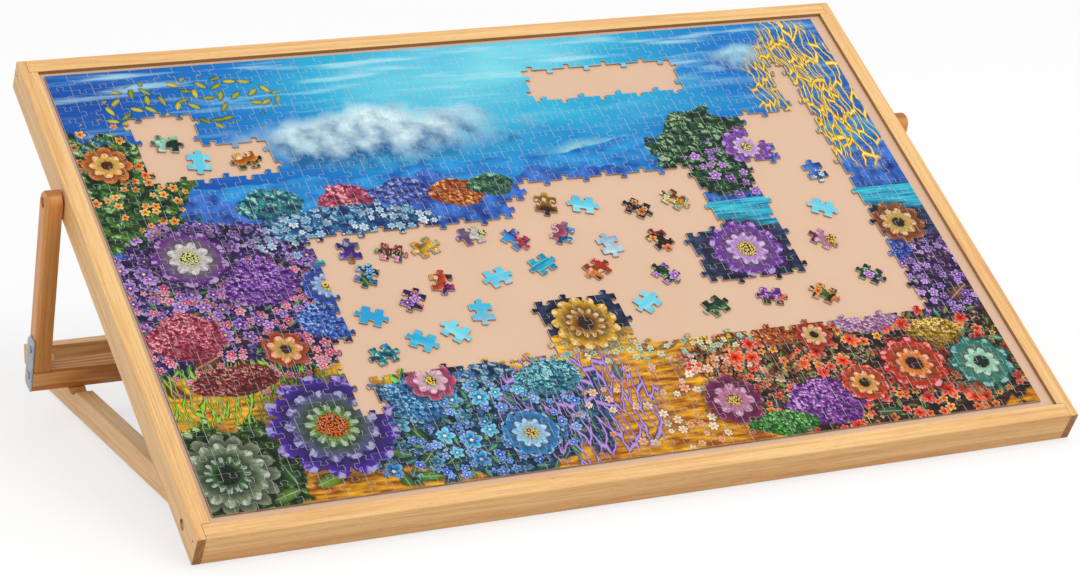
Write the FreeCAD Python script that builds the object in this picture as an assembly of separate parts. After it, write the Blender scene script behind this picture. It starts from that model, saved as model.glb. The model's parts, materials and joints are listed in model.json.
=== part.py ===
import FreeCAD, Part
import math
import os

# Tilting jigsaw puzzle board. A shallow wooden tray carries a puzzle under way. A prop frame of
# two legs and a crossbar hangs outside the tray's sides, and a base frame of two notched arms and
# a rear bar hangs inside them. The crossbar stands in a pair of notches, each cut square to the
# legs, and so holds the tray at its tilt.
# Millimetres. X runs along the tray's width, Y runs back and Z up. The origin lies on the table,
# under the middle of the object's outline.

# Puzzle, whose grid and margins give the tray its size
COLUMNS = 40
ROWS = 25
CELL_WIDTH = 18.75
CELL_HEIGHT = 20.0
PUZZLE_THICKNESS = 2.0
MARGIN_LEFT = 4.2
MARGIN_RIGHT = 11.8
MARGIN_BOTTOM = 7.3
MARGIN_TOP = 4.7
KNOB_NECK = 4.2
KNOB_HEAD = 6.2
KNOB_HEIGHT = 5.2

# Tray
TILT = 29.8
RAIL_WIDTH = 15.0
RAIL_DEPTH = 30.0
RAIL_EASE = 1.2
TONGUE = 7.5
SURFACE_DROP = 3.8
FACING_THICKNESS = 1.0
PANEL_THICKNESS = 3.0
PANEL_BITE = 5.0
GROOVE_CLEARANCE = 0.1
BRAD_WIDTH = 1.3
BRAD_THICKNESS = 1.0
BRAD_LENGTH = 24.0
BRAD_DROP = 10.0

# Prop frame
LEG_PIVOT_RISE = 385.5
LEG_PIVOT_DROP = 15.0
LEG_THICKNESS = 15.0
LEG_DEPTH = 19.0
LEG_GAP = 1.5
LEG_EASE = 2.4
CROSSBAR_HEIGHT = 20.0
CROSSBAR_EASE = 1.5

# Steel plates at the feet of the legs
PLATE_THICKNESS = 1.6
PLATE_WIDTH = 16.5
PLATE_LENGTH = 52.0
PLATE_MARGIN = 1.0
PLATE_TOP_CUT = 6.0
PLATE_END_CUT = 3.0
PLATE_SCREW_RISES = (12.0, 39.0)
PLATE_SCREW_RADIUS = 1.75
PLATE_SCREW_LENGTH = 12.0
PLATE_HEAD_RADIUS = 3.4
PLATE_CROWN_RADIUS = 2.2
PLATE_HEAD_HEIGHT = 2.0

# Base frame
ARM_PIVOT_RISE = 31.9
ARM_THICKNESS = 15.0
ARM_HEIGHT = 21.8
ARM_GAP = 0.8
ARM_END_CLEARANCE = 2.1
STOW_CLEARANCE = 0.2
HEEL_RUN = 17.0
HEEL_RISE = 4.3
REAR_BAR_THICKNESS = 15.0
REAR_BAR_HEIGHT = 17.5
TENON_LENGTH = 5.0
TENON_SHOULDER = 3.0

# Notches for the crossbar
SEAT_COUNT = 3
SEAT_RUN = 352.0
SEAT_PITCH = 47.0
SEAT_DROP = 2.3
SEAT_CLEARANCE = 0.3
RAMP_RUN = 19.0
RAMP_SAG = 2.2
RELIEF_RUN = 2.0
RELIEF_DROP = 2.2

# Pivot screws
PIVOT_RADIUS = 2.5
PIVOT_FIT = 0.06
PIVOT_HEAD_RADIUS = 4.2
PIVOT_HEAD_HEIGHT = 3.0
COUNTERBORE_RADIUS = 4.8
COUNTERBORE_DEPTH = 4.5
HEAD_CLEARANCE = 0.1
SCREW_BITE = 11.0

# Blocks of cells still to be filled: first row, last row, first column, last column
OPEN_BLOCKS = [
    (3, 4, 3, 5), (5, 6, 3, 8), (2, 3, 23, 30),
    (9, 9, 20, 28), (10, 10, 19, 28), (11, 12, 9, 28), (13, 15, 9, 26),
    (16, 18, 9, 17), (16, 18, 22, 31), (17, 20, 8, 8),
    (3, 5, 36, 36), (6, 7, 33, 36), (8, 8, 34, 36), (9, 18, 32, 36),
]

# Loose pieces: column, row and turn of each one's middle
LOOSE_PIECES = [
    (10.6, 11.95, 85), (10.9, 13.45, 65), (12.5, 12.3, 160), (14.2, 12.2, 20), (16.6, 11.8, 10),
    (18.6, 12.3, 125), (21.0, 12.2, 60), (20.9, 10.4, 75), (22.7, 10.65, 162), (25.3, 11.2, 140),
    (27.4, 10.9, 130), (14.2, 14.3, 80), (12.5, 15.1, 60), (16.9, 14.35, 15), (19.3, 13.9, 25),
    (23.0, 13.2, 95), (25.6, 13.2, 110), (21.8, 14.5, 30), (10.3, 15.75, 155), (15.4, 16.2, 85),
    (12.1, 17.4, 145), (13.8, 17.1, 130), (10.1, 17.9, 15), (23.4, 16.7, 35), (25.0, 15.2, 125),
    (26.6, 17.4, 25), (29.6, 17.2, 168), (32.3, 17.4, 140), (35.2, 16.6, 140), (35.4, 10.0, 95),
    (34.7, 12.3, 150), (33.8, 14.2, 135), (4.4, 4.7, 170), (5.5, 5.95, 80), (7.7, 6.1, 5),
]

# Places worked out from the sizes above
TILT_ANGLE = math.radians(TILT)
TRAY_WIDTH = 2 * RAIL_WIDTH + MARGIN_LEFT + COLUMNS * CELL_WIDTH + MARGIN_RIGHT
TRAY_HEIGHT = 2 * RAIL_WIDTH + MARGIN_BOTTOM + ROWS * CELL_HEIGHT + MARGIN_TOP
PANEL_FRONT = SURFACE_DROP + FACING_THICKNESS
PANEL_BACK = PANEL_FRONT + PANEL_THICKNESS
ARM_PIVOT_DROP = PANEL_BACK + STOW_CLEARANCE + ARM_HEIGHT / 2
ARM_REACH = TRAY_HEIGHT - RAIL_WIDTH - ARM_PIVOT_RISE - ARM_END_CLEARANCE
ARM_INSET = RAIL_WIDTH + ARM_GAP
LEG_FACE = -LEG_GAP - LEG_THICKNESS
PUZZLE_LEFT = RAIL_WIDTH + MARGIN_LEFT
PUZZLE_BOTTOM = RAIL_WIDTH + MARGIN_BOTTOM


def ground_point(rise, drop):
    """Y and Z of a point of the tray's side view, from its rise up the tray and drop below its face."""
    lift = RAIL_DEPTH - drop
    y = rise * math.cos(TILT_ANGLE) - lift * math.sin(TILT_ANGLE)
    z = rise * math.sin(TILT_ANGLE) + lift * math.cos(TILT_ANGLE)
    return y, z


def arm_slope():
    """Angle by which the arms fall to the rear, so that their heels touch the table."""
    height = ground_point(ARM_PIVOT_RISE, ARM_PIVOT_DROP)[1]
    run = ARM_REACH - HEEL_RUN
    return math.asin(height / math.hypot(run, ARM_HEIGHT / 2)) - math.atan2(ARM_HEIGHT / 2, run)


ARM_PIVOT = ground_point(ARM_PIVOT_RISE, ARM_PIVOT_DROP)
LEG_PIVOT = ground_point(LEG_PIVOT_RISE, LEG_PIVOT_DROP)
ARM_SLOPE = arm_slope()


def arm_to_ground(along, up):
    """Y and Z of a point given along an arm and square to it, from its pivot."""
    y = ARM_PIVOT[0] + along * math.cos(ARM_SLOPE) + up * math.sin(ARM_SLOPE)
    z = ARM_PIVOT[1] - along * math.sin(ARM_SLOPE) + up * math.cos(ARM_SLOPE)
    return y, z


SEAT_UP = ARM_HEIGHT / 2 - SEAT_DROP
FOOT_CORNER = arm_to_ground(SEAT_RUN, SEAT_UP)
FOOT_REACH = math.dist(FOOT_CORNER, LEG_PIVOT)
FOOT_LENGTH = math.sqrt(FOOT_REACH ** 2 - (LEG_DEPTH / 2) ** 2)
LEG_LEAN = (
    math.atan2(FOOT_CORNER[0] - LEG_PIVOT[0], LEG_PIVOT[1] - FOOT_CORNER[1])
    + math.asin(LEG_DEPTH / 2 / FOOT_REACH)
)
FRONT = -RAIL_DEPTH * math.sin(TILT_ANGLE) + RAIL_EASE * (
    math.cos(TILT_ANGLE) + math.sin(TILT_ANGLE) - 1
)
REAR = arm_to_ground(ARM_REACH, ARM_HEIGHT / 2)[0]
ORIGIN = FreeCAD.Vector(TRAY_WIDTH / 2, (FRONT + REAR) / 2, 0)
NEAR = 0.01
X_AXIS = FreeCAD.Vector(1, 0, 0)
Z_AXIS = FreeCAD.Vector(0, 0, 1)


def box(low, high):
    """Box between two corners."""
    size = [b - a for a, b in zip(low, high)]
    return Part.makeBox(*size, FreeCAD.Vector(*low))


def pin(x_start, x_end, radius, y, z):
    """Round pin along X."""
    return Part.makeCylinder(radius, x_end - x_start, FreeCAD.Vector(x_start, y, z), X_AXIS)


def side_profile(edges, x_start, x_end):
    """Solid from a closed side view, extruded along X."""
    face = Part.Face(Part.Wire(edges))
    solid = face.extrude(FreeCAD.Vector(x_end - x_start, 0, 0))
    solid.translate(FreeCAD.Vector(x_start, 0, 0))
    return solid


def line(start, end):
    """Straight edge of a side view, between two (y, z) points."""
    return Part.LineSegment(FreeCAD.Vector(0, *start), FreeCAD.Vector(0, *end)).toShape()


def arc(start, middle, end):
    """Round edge of a side view, through three (y, z) points."""
    points = [FreeCAD.Vector(0, *p) for p in (start, middle, end)]
    return Part.Arc(*points).toShape()


def ease(solid, radius, keep):
    """Rounds the edges whose ends all pass a test."""
    edges = [e for e in solid.Edges if all(keep(v.Point) for v in e.Vertexes)]
    return solid.makeFillet(radius, edges)


def mirrored(solid):
    """The same piece on the tray's other side."""
    return solid.mirror(FreeCAD.Vector(TRAY_WIDTH / 2, 0, 0), X_AXIS)


def placed(solid, angle, point):
    """Turns a side view about the X axis and moves its zero to a ground point."""
    moved = solid.copy()
    moved.rotate(FreeCAD.Vector(0, 0, 0), X_AXIS, math.degrees(angle))
    moved.translate(FreeCAD.Vector(0, *point) - ORIGIN)
    return moved


def on_tray(solid):
    """From the tray's frame, with its face at z = 0, to the standing object."""
    return placed(solid, TILT_ANGLE, ground_point(0, 0))


def on_prop(solid):
    """From the prop frame's side view, with the foot's front corner at zero."""
    return placed(solid, LEG_LEAN, FOOT_CORNER)


def on_base(solid):
    """From the base frame's side view, with the arm's pivot at zero."""
    return placed(solid, -ARM_SLOPE, ARM_PIVOT)


# Tray

def groove():
    """Space that the back panel takes out of the rails."""
    edge = RAIL_WIDTH - PANEL_BITE - GROOVE_CLEARANCE
    low = (edge, edge, -PANEL_BACK)
    high = (TRAY_WIDTH - edge, TRAY_HEIGHT - edge, -PANEL_FRONT)
    return box(low, high)


def outer_top_edge(point):
    """True on the outer top edges of the tray."""
    outside = min(point.x, point.y, TRAY_WIDTH - point.x, TRAY_HEIGHT - point.y) < NEAR
    return outside and abs(point.z) < NEAR


def side_rail():
    """Left rail: full length, rabbeted at both ends, with its two pivot holes."""
    rail = box((0, 0, -RAIL_DEPTH), (RAIL_WIDTH, TRAY_HEIGHT, 0))
    for start in (0, TRAY_HEIGHT - RAIL_WIDTH):
        rabbet = box((TONGUE, start, -RAIL_DEPTH), (RAIL_WIDTH, start + RAIL_WIDTH, 0))
        rail = rail.cut(rabbet)
    rail = ease(rail, RAIL_EASE, outer_top_edge)
    rail = rail.cut(groove())
    for solid in brads():
        rail = rail.cut(solid)
    leg_hole = pin(0, SCREW_BITE, PIVOT_RADIUS, LEG_PIVOT_RISE, -LEG_PIVOT_DROP)
    arm_hole = pin(0, RAIL_WIDTH, PIVOT_RADIUS + PIVOT_FIT, ARM_PIVOT_RISE, -ARM_PIVOT_DROP)
    recess = pin(0, COUNTERBORE_DEPTH, COUNTERBORE_RADIUS, ARM_PIVOT_RISE, -ARM_PIVOT_DROP)
    return rail.cut(leg_hole).cut(arm_hole).cut(recess)


def end_rail(start):
    """Bottom or top rail, which sits in the side rails' rabbets."""
    rail = box(
        (TONGUE, start, -RAIL_DEPTH),
        (TRAY_WIDTH - TONGUE, start + RAIL_WIDTH, 0),
    )
    rail = ease(rail, RAIL_EASE, outer_top_edge)
    rail = rail.cut(groove())
    for solid in brads() + [mirrored(s) for s in brads()]:
        rail = rail.cut(solid)
    return rail


def brads():
    """Flat wire nails through the left rail's tongues into the end rails."""
    nails = []
    for middle in (RAIL_WIDTH / 2, TRAY_HEIGHT - RAIL_WIDTH / 2):
        low = (0, middle - BRAD_WIDTH / 2, -BRAD_DROP - BRAD_THICKNESS / 2)
        high = (BRAD_LENGTH, middle + BRAD_WIDTH / 2, -BRAD_DROP + BRAD_THICKNESS / 2)
        nails.append(box(low, high))
    return nails


def back_panel():
    """Thin panel held in the rails' groove."""
    edge = RAIL_WIDTH - PANEL_BITE
    return box((edge, edge, -PANEL_BACK), (TRAY_WIDTH - edge, TRAY_HEIGHT - edge, -PANEL_FRONT))


def facing_sheet():
    """Smooth sheet over the panel, between the rails, that the puzzle lies on."""
    high = (TRAY_WIDTH - RAIL_WIDTH, TRAY_HEIGHT - RAIL_WIDTH, -SURFACE_DROP)
    return box((RAIL_WIDTH, RAIL_WIDTH, -PANEL_FRONT), high)


# Pivots

def pivot_screw(x_head, x_shank, x_end, y, z):
    """Screw along X: a flat head and a plain shank."""
    head = pin(x_head, x_shank, PIVOT_HEAD_RADIUS, y, z)
    return head.fuse(pin(x_shank, x_end, PIVOT_RADIUS, y, z)).removeSplitter()


def leg_screw():
    """Screw from a leg's recess into the left rail."""
    x_shank = LEG_FACE + COUNTERBORE_DEPTH - HEAD_CLEARANCE
    x_head = x_shank - PIVOT_HEAD_HEIGHT
    return pivot_screw(x_head, x_shank, SCREW_BITE, LEG_PIVOT_RISE, -LEG_PIVOT_DROP)


def arm_screw():
    """Screw from the left rail's recess into the arm, about the arm's zero."""
    x_shank = COUNTERBORE_DEPTH - HEAD_CLEARANCE
    return pivot_screw(x_shank - PIVOT_HEAD_HEIGHT, x_shank, ARM_INSET + SCREW_BITE, 0, 0)


# Prop frame, with its side view's zero at the front corner of the foot

def leg():
    """Left leg: round top about its pivot, chamfered outer edges, square foot."""
    half = LEG_DEPTH / 2
    top = FOOT_LENGTH
    edges = [
        line((0, CROSSBAR_HEIGHT), (LEG_DEPTH, CROSSBAR_HEIGHT)),
        line((LEG_DEPTH, CROSSBAR_HEIGHT), (LEG_DEPTH, top)),
        arc((LEG_DEPTH, top), (half, top + half), (0, top)),
        line((0, top), (0, CROSSBAR_HEIGHT)),
    ]
    solid = side_profile(edges, LEG_FACE, LEG_FACE + LEG_THICKNESS)
    outer = [
        e for e in solid.Edges
        if all(abs(v.X - LEG_FACE) < NEAR for v in e.Vertexes)
        and e.CenterOfMass.z > CROSSBAR_HEIGHT + LEG_EASE
    ]
    solid = solid.makeChamfer(LEG_EASE, outer)
    bore = pin(LEG_FACE, LEG_FACE + LEG_THICKNESS, PIVOT_RADIUS + PIVOT_FIT, half, top)
    recess = pin(LEG_FACE, LEG_FACE + COUNTERBORE_DEPTH, COUNTERBORE_RADIUS, half, top)
    solid = solid.cut(bore).cut(recess)
    return solid.cut(plate_screw_shank(PLATE_SCREW_RISES[1]))


def crossbar():
    """Bar across both feet, flush with the legs' outer faces."""
    solid = box((LEG_FACE, 0, 0), (TRAY_WIDTH - LEG_FACE, LEG_DEPTH, CROSSBAR_HEIGHT))
    long_edges = [e for e in solid.Edges if abs(e.Length - solid.BoundBox.XLength) < NEAR]
    solid = solid.makeChamfer(CROSSBAR_EASE, long_edges)
    hole = plate_screw_shank(PLATE_SCREW_RISES[0])
    return solid.cut(hole).cut(mirrored(hole))


def plate_middle():
    """Middle of the plate's width, from the leg's front face."""
    return PLATE_MARGIN + PLATE_WIDTH / 2


def plate_screw_shank(rise):
    """Shank of one of the plate's screws."""
    start = LEG_FACE - PLATE_THICKNESS
    return pin(start, start + PLATE_SCREW_LENGTH, PLATE_SCREW_RADIUS, plate_middle(), rise)


def plate():
    """Steel plate over the joint of leg and crossbar, cut off at two corners."""
    front = PLATE_MARGIN
    back = front + PLATE_WIDTH
    points = [
        (front, 0), (back - PLATE_END_CUT, 0), (back, PLATE_END_CUT),
        (back, PLATE_LENGTH - PLATE_TOP_CUT), (back - PLATE_TOP_CUT, PLATE_LENGTH), (front, PLATE_LENGTH),
    ]
    edges = [line(a, b) for a, b in zip(points, points[1:] + points[:1])]
    solid = side_profile(edges, LEG_FACE - PLATE_THICKNESS, LEG_FACE)
    for rise in PLATE_SCREW_RISES:
        solid = solid.cut(plate_screw_shank(rise))
    return solid


def plate_screws():
    """Two pan head screws of the left plate."""
    screws = []
    for rise in PLATE_SCREW_RISES:
        start = LEG_FACE - PLATE_THICKNESS
        head = Part.makeCone(
            PLATE_HEAD_RADIUS, PLATE_CROWN_RADIUS, PLATE_HEAD_HEIGHT,
            FreeCAD.Vector(start, plate_middle(), rise), -X_AXIS,
        )
        screws.append(head.fuse(plate_screw_shank(rise)).removeSplitter())
    return screws


# Base frame, with its side view's zero at the arm's pivot

def seat_angle(run):
    """Angle between a notch's seat and the arm, with the crossbar's front corner at that notch."""
    span = math.dist(ARM_PIVOT, LEG_PIVOT)
    reach = math.hypot(run, SEAT_UP)
    at_corner = (reach ** 2 + FOOT_REACH ** 2 - span ** 2) / (2 * reach * FOOT_REACH)
    corner_angle = math.acos(at_corner)
    leg_turn = math.asin(LEG_DEPTH / 2 / FOOT_REACH)
    return math.pi / 2 - (corner_angle - math.atan2(SEAT_UP, run)) + leg_turn


def notch(run):
    """Space of one notch: a hollow ramp in front, a relief under the corner, a seat square to the leg."""
    top = ARM_HEIGHT / 2
    above = top + SEAT_DROP
    angle = seat_angle(run)
    corner = (run + SEAT_CLEARANCE * math.sin(angle), SEAT_UP - SEAT_CLEARANCE * math.cos(angle))
    lip = (corner[0] + (top - corner[1]) / math.tan(angle), top)
    low = (corner[0] - RELIEF_RUN, corner[1] - RELIEF_DROP)
    start = (low[0] - RAMP_RUN, top)
    sag = ((start[0] + low[0]) / 2, (start[1] + low[1]) / 2 - RAMP_SAG)
    edges = [
        line((start[0], above), start),
        arc(start, sag, low),
        line(low, corner),
        line(corner, lip),
        line(lip, (lip[0], above)),
        line((lip[0], above), (start[0], above)),
    ]
    return side_profile(edges, 0, TRAY_WIDTH)


def tenon():
    """Stub tenon of the rear bar in the left arm."""
    shoulder = ARM_INSET + ARM_THICKNESS
    top = ARM_HEIGHT / 2 - TENON_SHOULDER
    low = (shoulder - TENON_LENGTH, ARM_REACH - REAR_BAR_THICKNESS + TENON_SHOULDER)
    high = (shoulder, ARM_REACH - TENON_SHOULDER)
    return box((*low, top + 2 * TENON_SHOULDER - REAR_BAR_HEIGHT), (*high, top))


def arm():
    """Left arm: round nose about its pivot, notches for the crossbar, heel on the table."""
    half = ARM_HEIGHT / 2
    edges = [
        line((0, half), (ARM_REACH, half)),
        line((ARM_REACH, half), (ARM_REACH, HEEL_RISE - half)),
        line((ARM_REACH, HEEL_RISE - half), (ARM_REACH - HEEL_RUN, -half)),
        line((ARM_REACH - HEEL_RUN, -half), (0, -half)),
        arc((0, -half), (-half, 0), (0, half)),
    ]
    solid = side_profile(edges, ARM_INSET, ARM_INSET + ARM_THICKNESS)
    for step in range(SEAT_COUNT):
        solid = solid.cut(notch(SEAT_RUN + step * SEAT_PITCH))
    solid = solid.cut(pin(ARM_INSET, ARM_INSET + SCREW_BITE, PIVOT_RADIUS, 0, 0))
    return solid.cut(tenon())


def rear_bar():
    """Bar between the arms' rear ends, flush with their tops, with a stub tenon in each."""
    inner = ARM_INSET + ARM_THICKNESS
    top = ARM_HEIGHT / 2
    low = (inner, ARM_REACH - REAR_BAR_THICKNESS, top - REAR_BAR_HEIGHT)
    solid = box(low, (TRAY_WIDTH - inner, ARM_REACH, top))
    return solid.fuse([tenon(), mirrored(tenon())]).removeSplitter()


# Puzzle, in the tray's frame

def open_cells():
    """Cells, as (column, row) from the top left, that hold no assembled piece."""
    cells = set()
    for first_row, last_row, first_column, last_column in OPEN_BLOCKS:
        for row in range(first_row, last_row + 1):
            cells.update((column, row) for column in range(first_column, last_column + 1))
    return cells


def knob_side(column, row, across):
    """Side that the knob of a cell's left (across) or top edge points to: 1 towards the cell."""
    first = (column + row) % 2 == 1
    return 1 if first == across else -1


def jigsaw_edge(start, end, side):
    """Corners of a run with one flared knob, from its start, to the left of the run if side is 1."""
    along = (end - start).normalize()
    out = Z_AXIS.cross(along) * side * KNOB_HEIGHT
    middle = (start + end) * 0.5
    neck = along * (KNOB_NECK / 2)
    head = along * (KNOB_HEAD / 2)
    return [start, middle - neck, middle - head + out, middle + head + out, middle + neck]


def cell_borders(cells):
    """Directed borders of a set of cells, each with the cells on its left and its knob's side."""
    borders = {}
    for column, row in cells:
        if (column, row - 1) not in cells:
            borders[(column + 1, row)] = (column, row), knob_side(column, row, False)
        if (column, row + 1) not in cells:
            borders[(column, row + 1)] = (column + 1, row + 1), -knob_side(column, row + 1, False)
        if (column - 1, row) not in cells:
            borders[(column, row)] = (column, row + 1), knob_side(column, row, True)
        if (column + 1, row) not in cells:
            borders[(column + 1, row + 1)] = (column + 1, row), -knob_side(column + 1, row, True)
    return borders


def grid_point(column, row):
    """Corner of the puzzle's grid, counted from the top left."""
    x = PUZZLE_LEFT + column * CELL_WIDTH
    y = PUZZLE_BOTTOM + (ROWS - row) * CELL_HEIGHT
    return FreeCAD.Vector(x, y, -SURFACE_DROP)


def region_wires(cells):
    """Closed outlines of the regions that a set of cells makes."""
    borders = cell_borders(cells)
    wires = []
    while borders:
        place = min(borders)
        corners = []
        while place in borders:
            target, side = borders.pop(place)
            corners += jigsaw_edge(grid_point(*place), grid_point(*target), side)
            place = target
        wires.append(Part.makePolygon(corners + corners[:1]))
    return wires


def puzzle_sheet():
    """Assembled part of the puzzle, with the open regions' knobs and sockets."""
    corners = [grid_point(*c) for c in ((0, ROWS), (COLUMNS, ROWS), (COLUMNS, 0), (0, 0))]
    outline = Part.makePolygon(corners + corners[:1])
    face = Part.makeFace([outline] + region_wires(open_cells()), "Part::FaceMakerBullseye")
    return face.extrude(FreeCAD.Vector(0, 0, PUZZLE_THICKNESS))


def loose_piece(column, row, turn):
    """One piece with two knobs and two sockets, lying flat on the facing sheet."""
    x, y = CELL_WIDTH / 2, CELL_HEIGHT / 2
    corners = [FreeCAD.Vector(*c, 0) for c in ((-x, -y), (x, -y), (x, y), (-x, y))]
    outline = []
    for step, (start, end) in enumerate(zip(corners, corners[1:] + corners[:1])):
        outline += jigsaw_edge(start, end, 1 if step % 2 == 0 else -1)
    wire = Part.makePolygon(outline + outline[:1])
    piece = Part.Face(wire).extrude(FreeCAD.Vector(0, 0, PUZZLE_THICKNESS))
    piece.rotate(FreeCAD.Vector(0, 0, 0), Z_AXIS, turn)
    piece.translate(grid_point(column, row))
    return piece


# Pieces by node name

def pieces():
    """Every node's name and its solids, in place."""
    paired = {
        "side_rail": (on_tray, [side_rail()]),
        "leg_screw": (on_tray, [leg_screw()]),
        "corner_brads": (on_tray, brads()),
        "leg": (on_prop, [leg()]),
        "foot_plate": (on_prop, [plate()]),
        "foot_plate_screws": (on_prop, plate_screws()),
        "arm": (on_base, [arm()]),
        "arm_screw": (on_base, [arm_screw()]),
    }
    nodes = {
        "bottom_rail": [on_tray(end_rail(0))],
        "top_rail": [on_tray(end_rail(TRAY_HEIGHT - RAIL_WIDTH))],
        "back_panel": [on_tray(back_panel())],
        "facing_sheet": [on_tray(facing_sheet())],
        "crossbar": [on_prop(crossbar())],
        "rear_bar": [on_base(rear_bar())],
        "puzzle_assembled": [on_tray(puzzle_sheet())],
        "puzzle_loose_pieces": [on_tray(loose_piece(*place)) for place in LOOSE_PIECES],
    }
    for name, (place, solids) in paired.items():
        nodes["left_" + name] = [place(s) for s in solids]
        nodes["right_" + name] = [place(mirrored(s)) for s in solids]
    return nodes


def main():
    """Writes one file per node."""
    os.makedirs("parts", exist_ok=True)
    for name, solids in sorted(pieces().items()):
        shape = solids[0] if len(solids) == 1 else Part.makeCompound(solids)
        shape.exportStep("parts/" + name + ".step")
    print("leg pivot", [round(v, 2) for v in (FreeCAD.Vector(0, *LEG_PIVOT) - ORIGIN)])
    print("arm pivot", [round(v, 2) for v in (FreeCAD.Vector(0, *ARM_PIVOT) - ORIGIN)])
    print("leg lean", round(math.degrees(LEG_LEAN), 2), "arm slope", round(math.degrees(ARM_SLOPE), 2))


main()
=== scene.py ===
import sys
import json
import logging
import math
import random
from dataclasses import dataclass, field
from enum import Enum

import bmesh
import bpy
import numpy as np
from mathutils import Matrix, Vector


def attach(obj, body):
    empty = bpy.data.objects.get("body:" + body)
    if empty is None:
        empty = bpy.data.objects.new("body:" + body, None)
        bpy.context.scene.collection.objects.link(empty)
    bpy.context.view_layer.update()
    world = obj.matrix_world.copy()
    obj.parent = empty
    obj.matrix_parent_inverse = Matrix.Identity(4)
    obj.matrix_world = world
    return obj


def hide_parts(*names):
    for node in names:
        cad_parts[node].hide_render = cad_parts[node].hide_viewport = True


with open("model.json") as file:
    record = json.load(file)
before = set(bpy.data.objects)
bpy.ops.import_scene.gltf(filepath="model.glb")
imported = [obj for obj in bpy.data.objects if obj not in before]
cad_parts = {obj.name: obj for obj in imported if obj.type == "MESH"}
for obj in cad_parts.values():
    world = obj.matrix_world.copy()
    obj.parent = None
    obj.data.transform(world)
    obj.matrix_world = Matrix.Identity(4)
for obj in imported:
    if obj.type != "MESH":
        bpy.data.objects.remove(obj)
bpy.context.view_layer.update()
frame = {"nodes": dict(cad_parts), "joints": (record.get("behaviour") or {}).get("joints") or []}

# Tilting jigsaw puzzle board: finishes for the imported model's wood and metal, the puzzle's separate
# pieces with a printed garden picture, the screws' drives, and a plain studio. Lengths are
# millimetres inside the classes and metres in the scene.

Colour = tuple[float, float, float, float]
Socket = bpy.types.NodeSocket
Outputs = bpy.types.bpy_prop_collection
Tree = bpy.types.NodeTree
Material = bpy.types.Material
Input = float | tuple | Socket
Entry = str | float | tuple[float, float]

BLACK = (0.0, 0.0, 0.0, 1.0)
WHITE = (1.0, 1.0, 1.0, 1.0)
ORIGIN = (0.0, 0.0, 0.0)
TURN = 2 * math.pi
TRACE = 1e-6
PER_METRE = 1000.0
NODE_SPACING = (190, 300)
NODES_IN_A_ROW = 14
WELD_DISTANCE = 1e-6
FLAT_ANGLE = math.radians(0.2)
EDGE_ANGLE = math.radians(35)
EDGE_SEGMENTS = 3
PRINT_SLOT, CARD_SLOT = 0, 1

log = logging.getLogger("puzzle_board")


def tone(code: str) -> Colour:
    """Linear colour from the code of a paint chart.

    Args:
        code: Two hexadecimal digits each for red, green and blue.

    Returns:
        The colour with full cover.
    """
    shares = [value / 255 for value in bytes.fromhex(code)]
    red, green, blue = (v / 12.92 if v <= 0.04045 else ((v + 0.055) / 1.055) ** 2.4 for v in shares)
    return (red, green, blue, 1.0)


# Shader graphs

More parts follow.
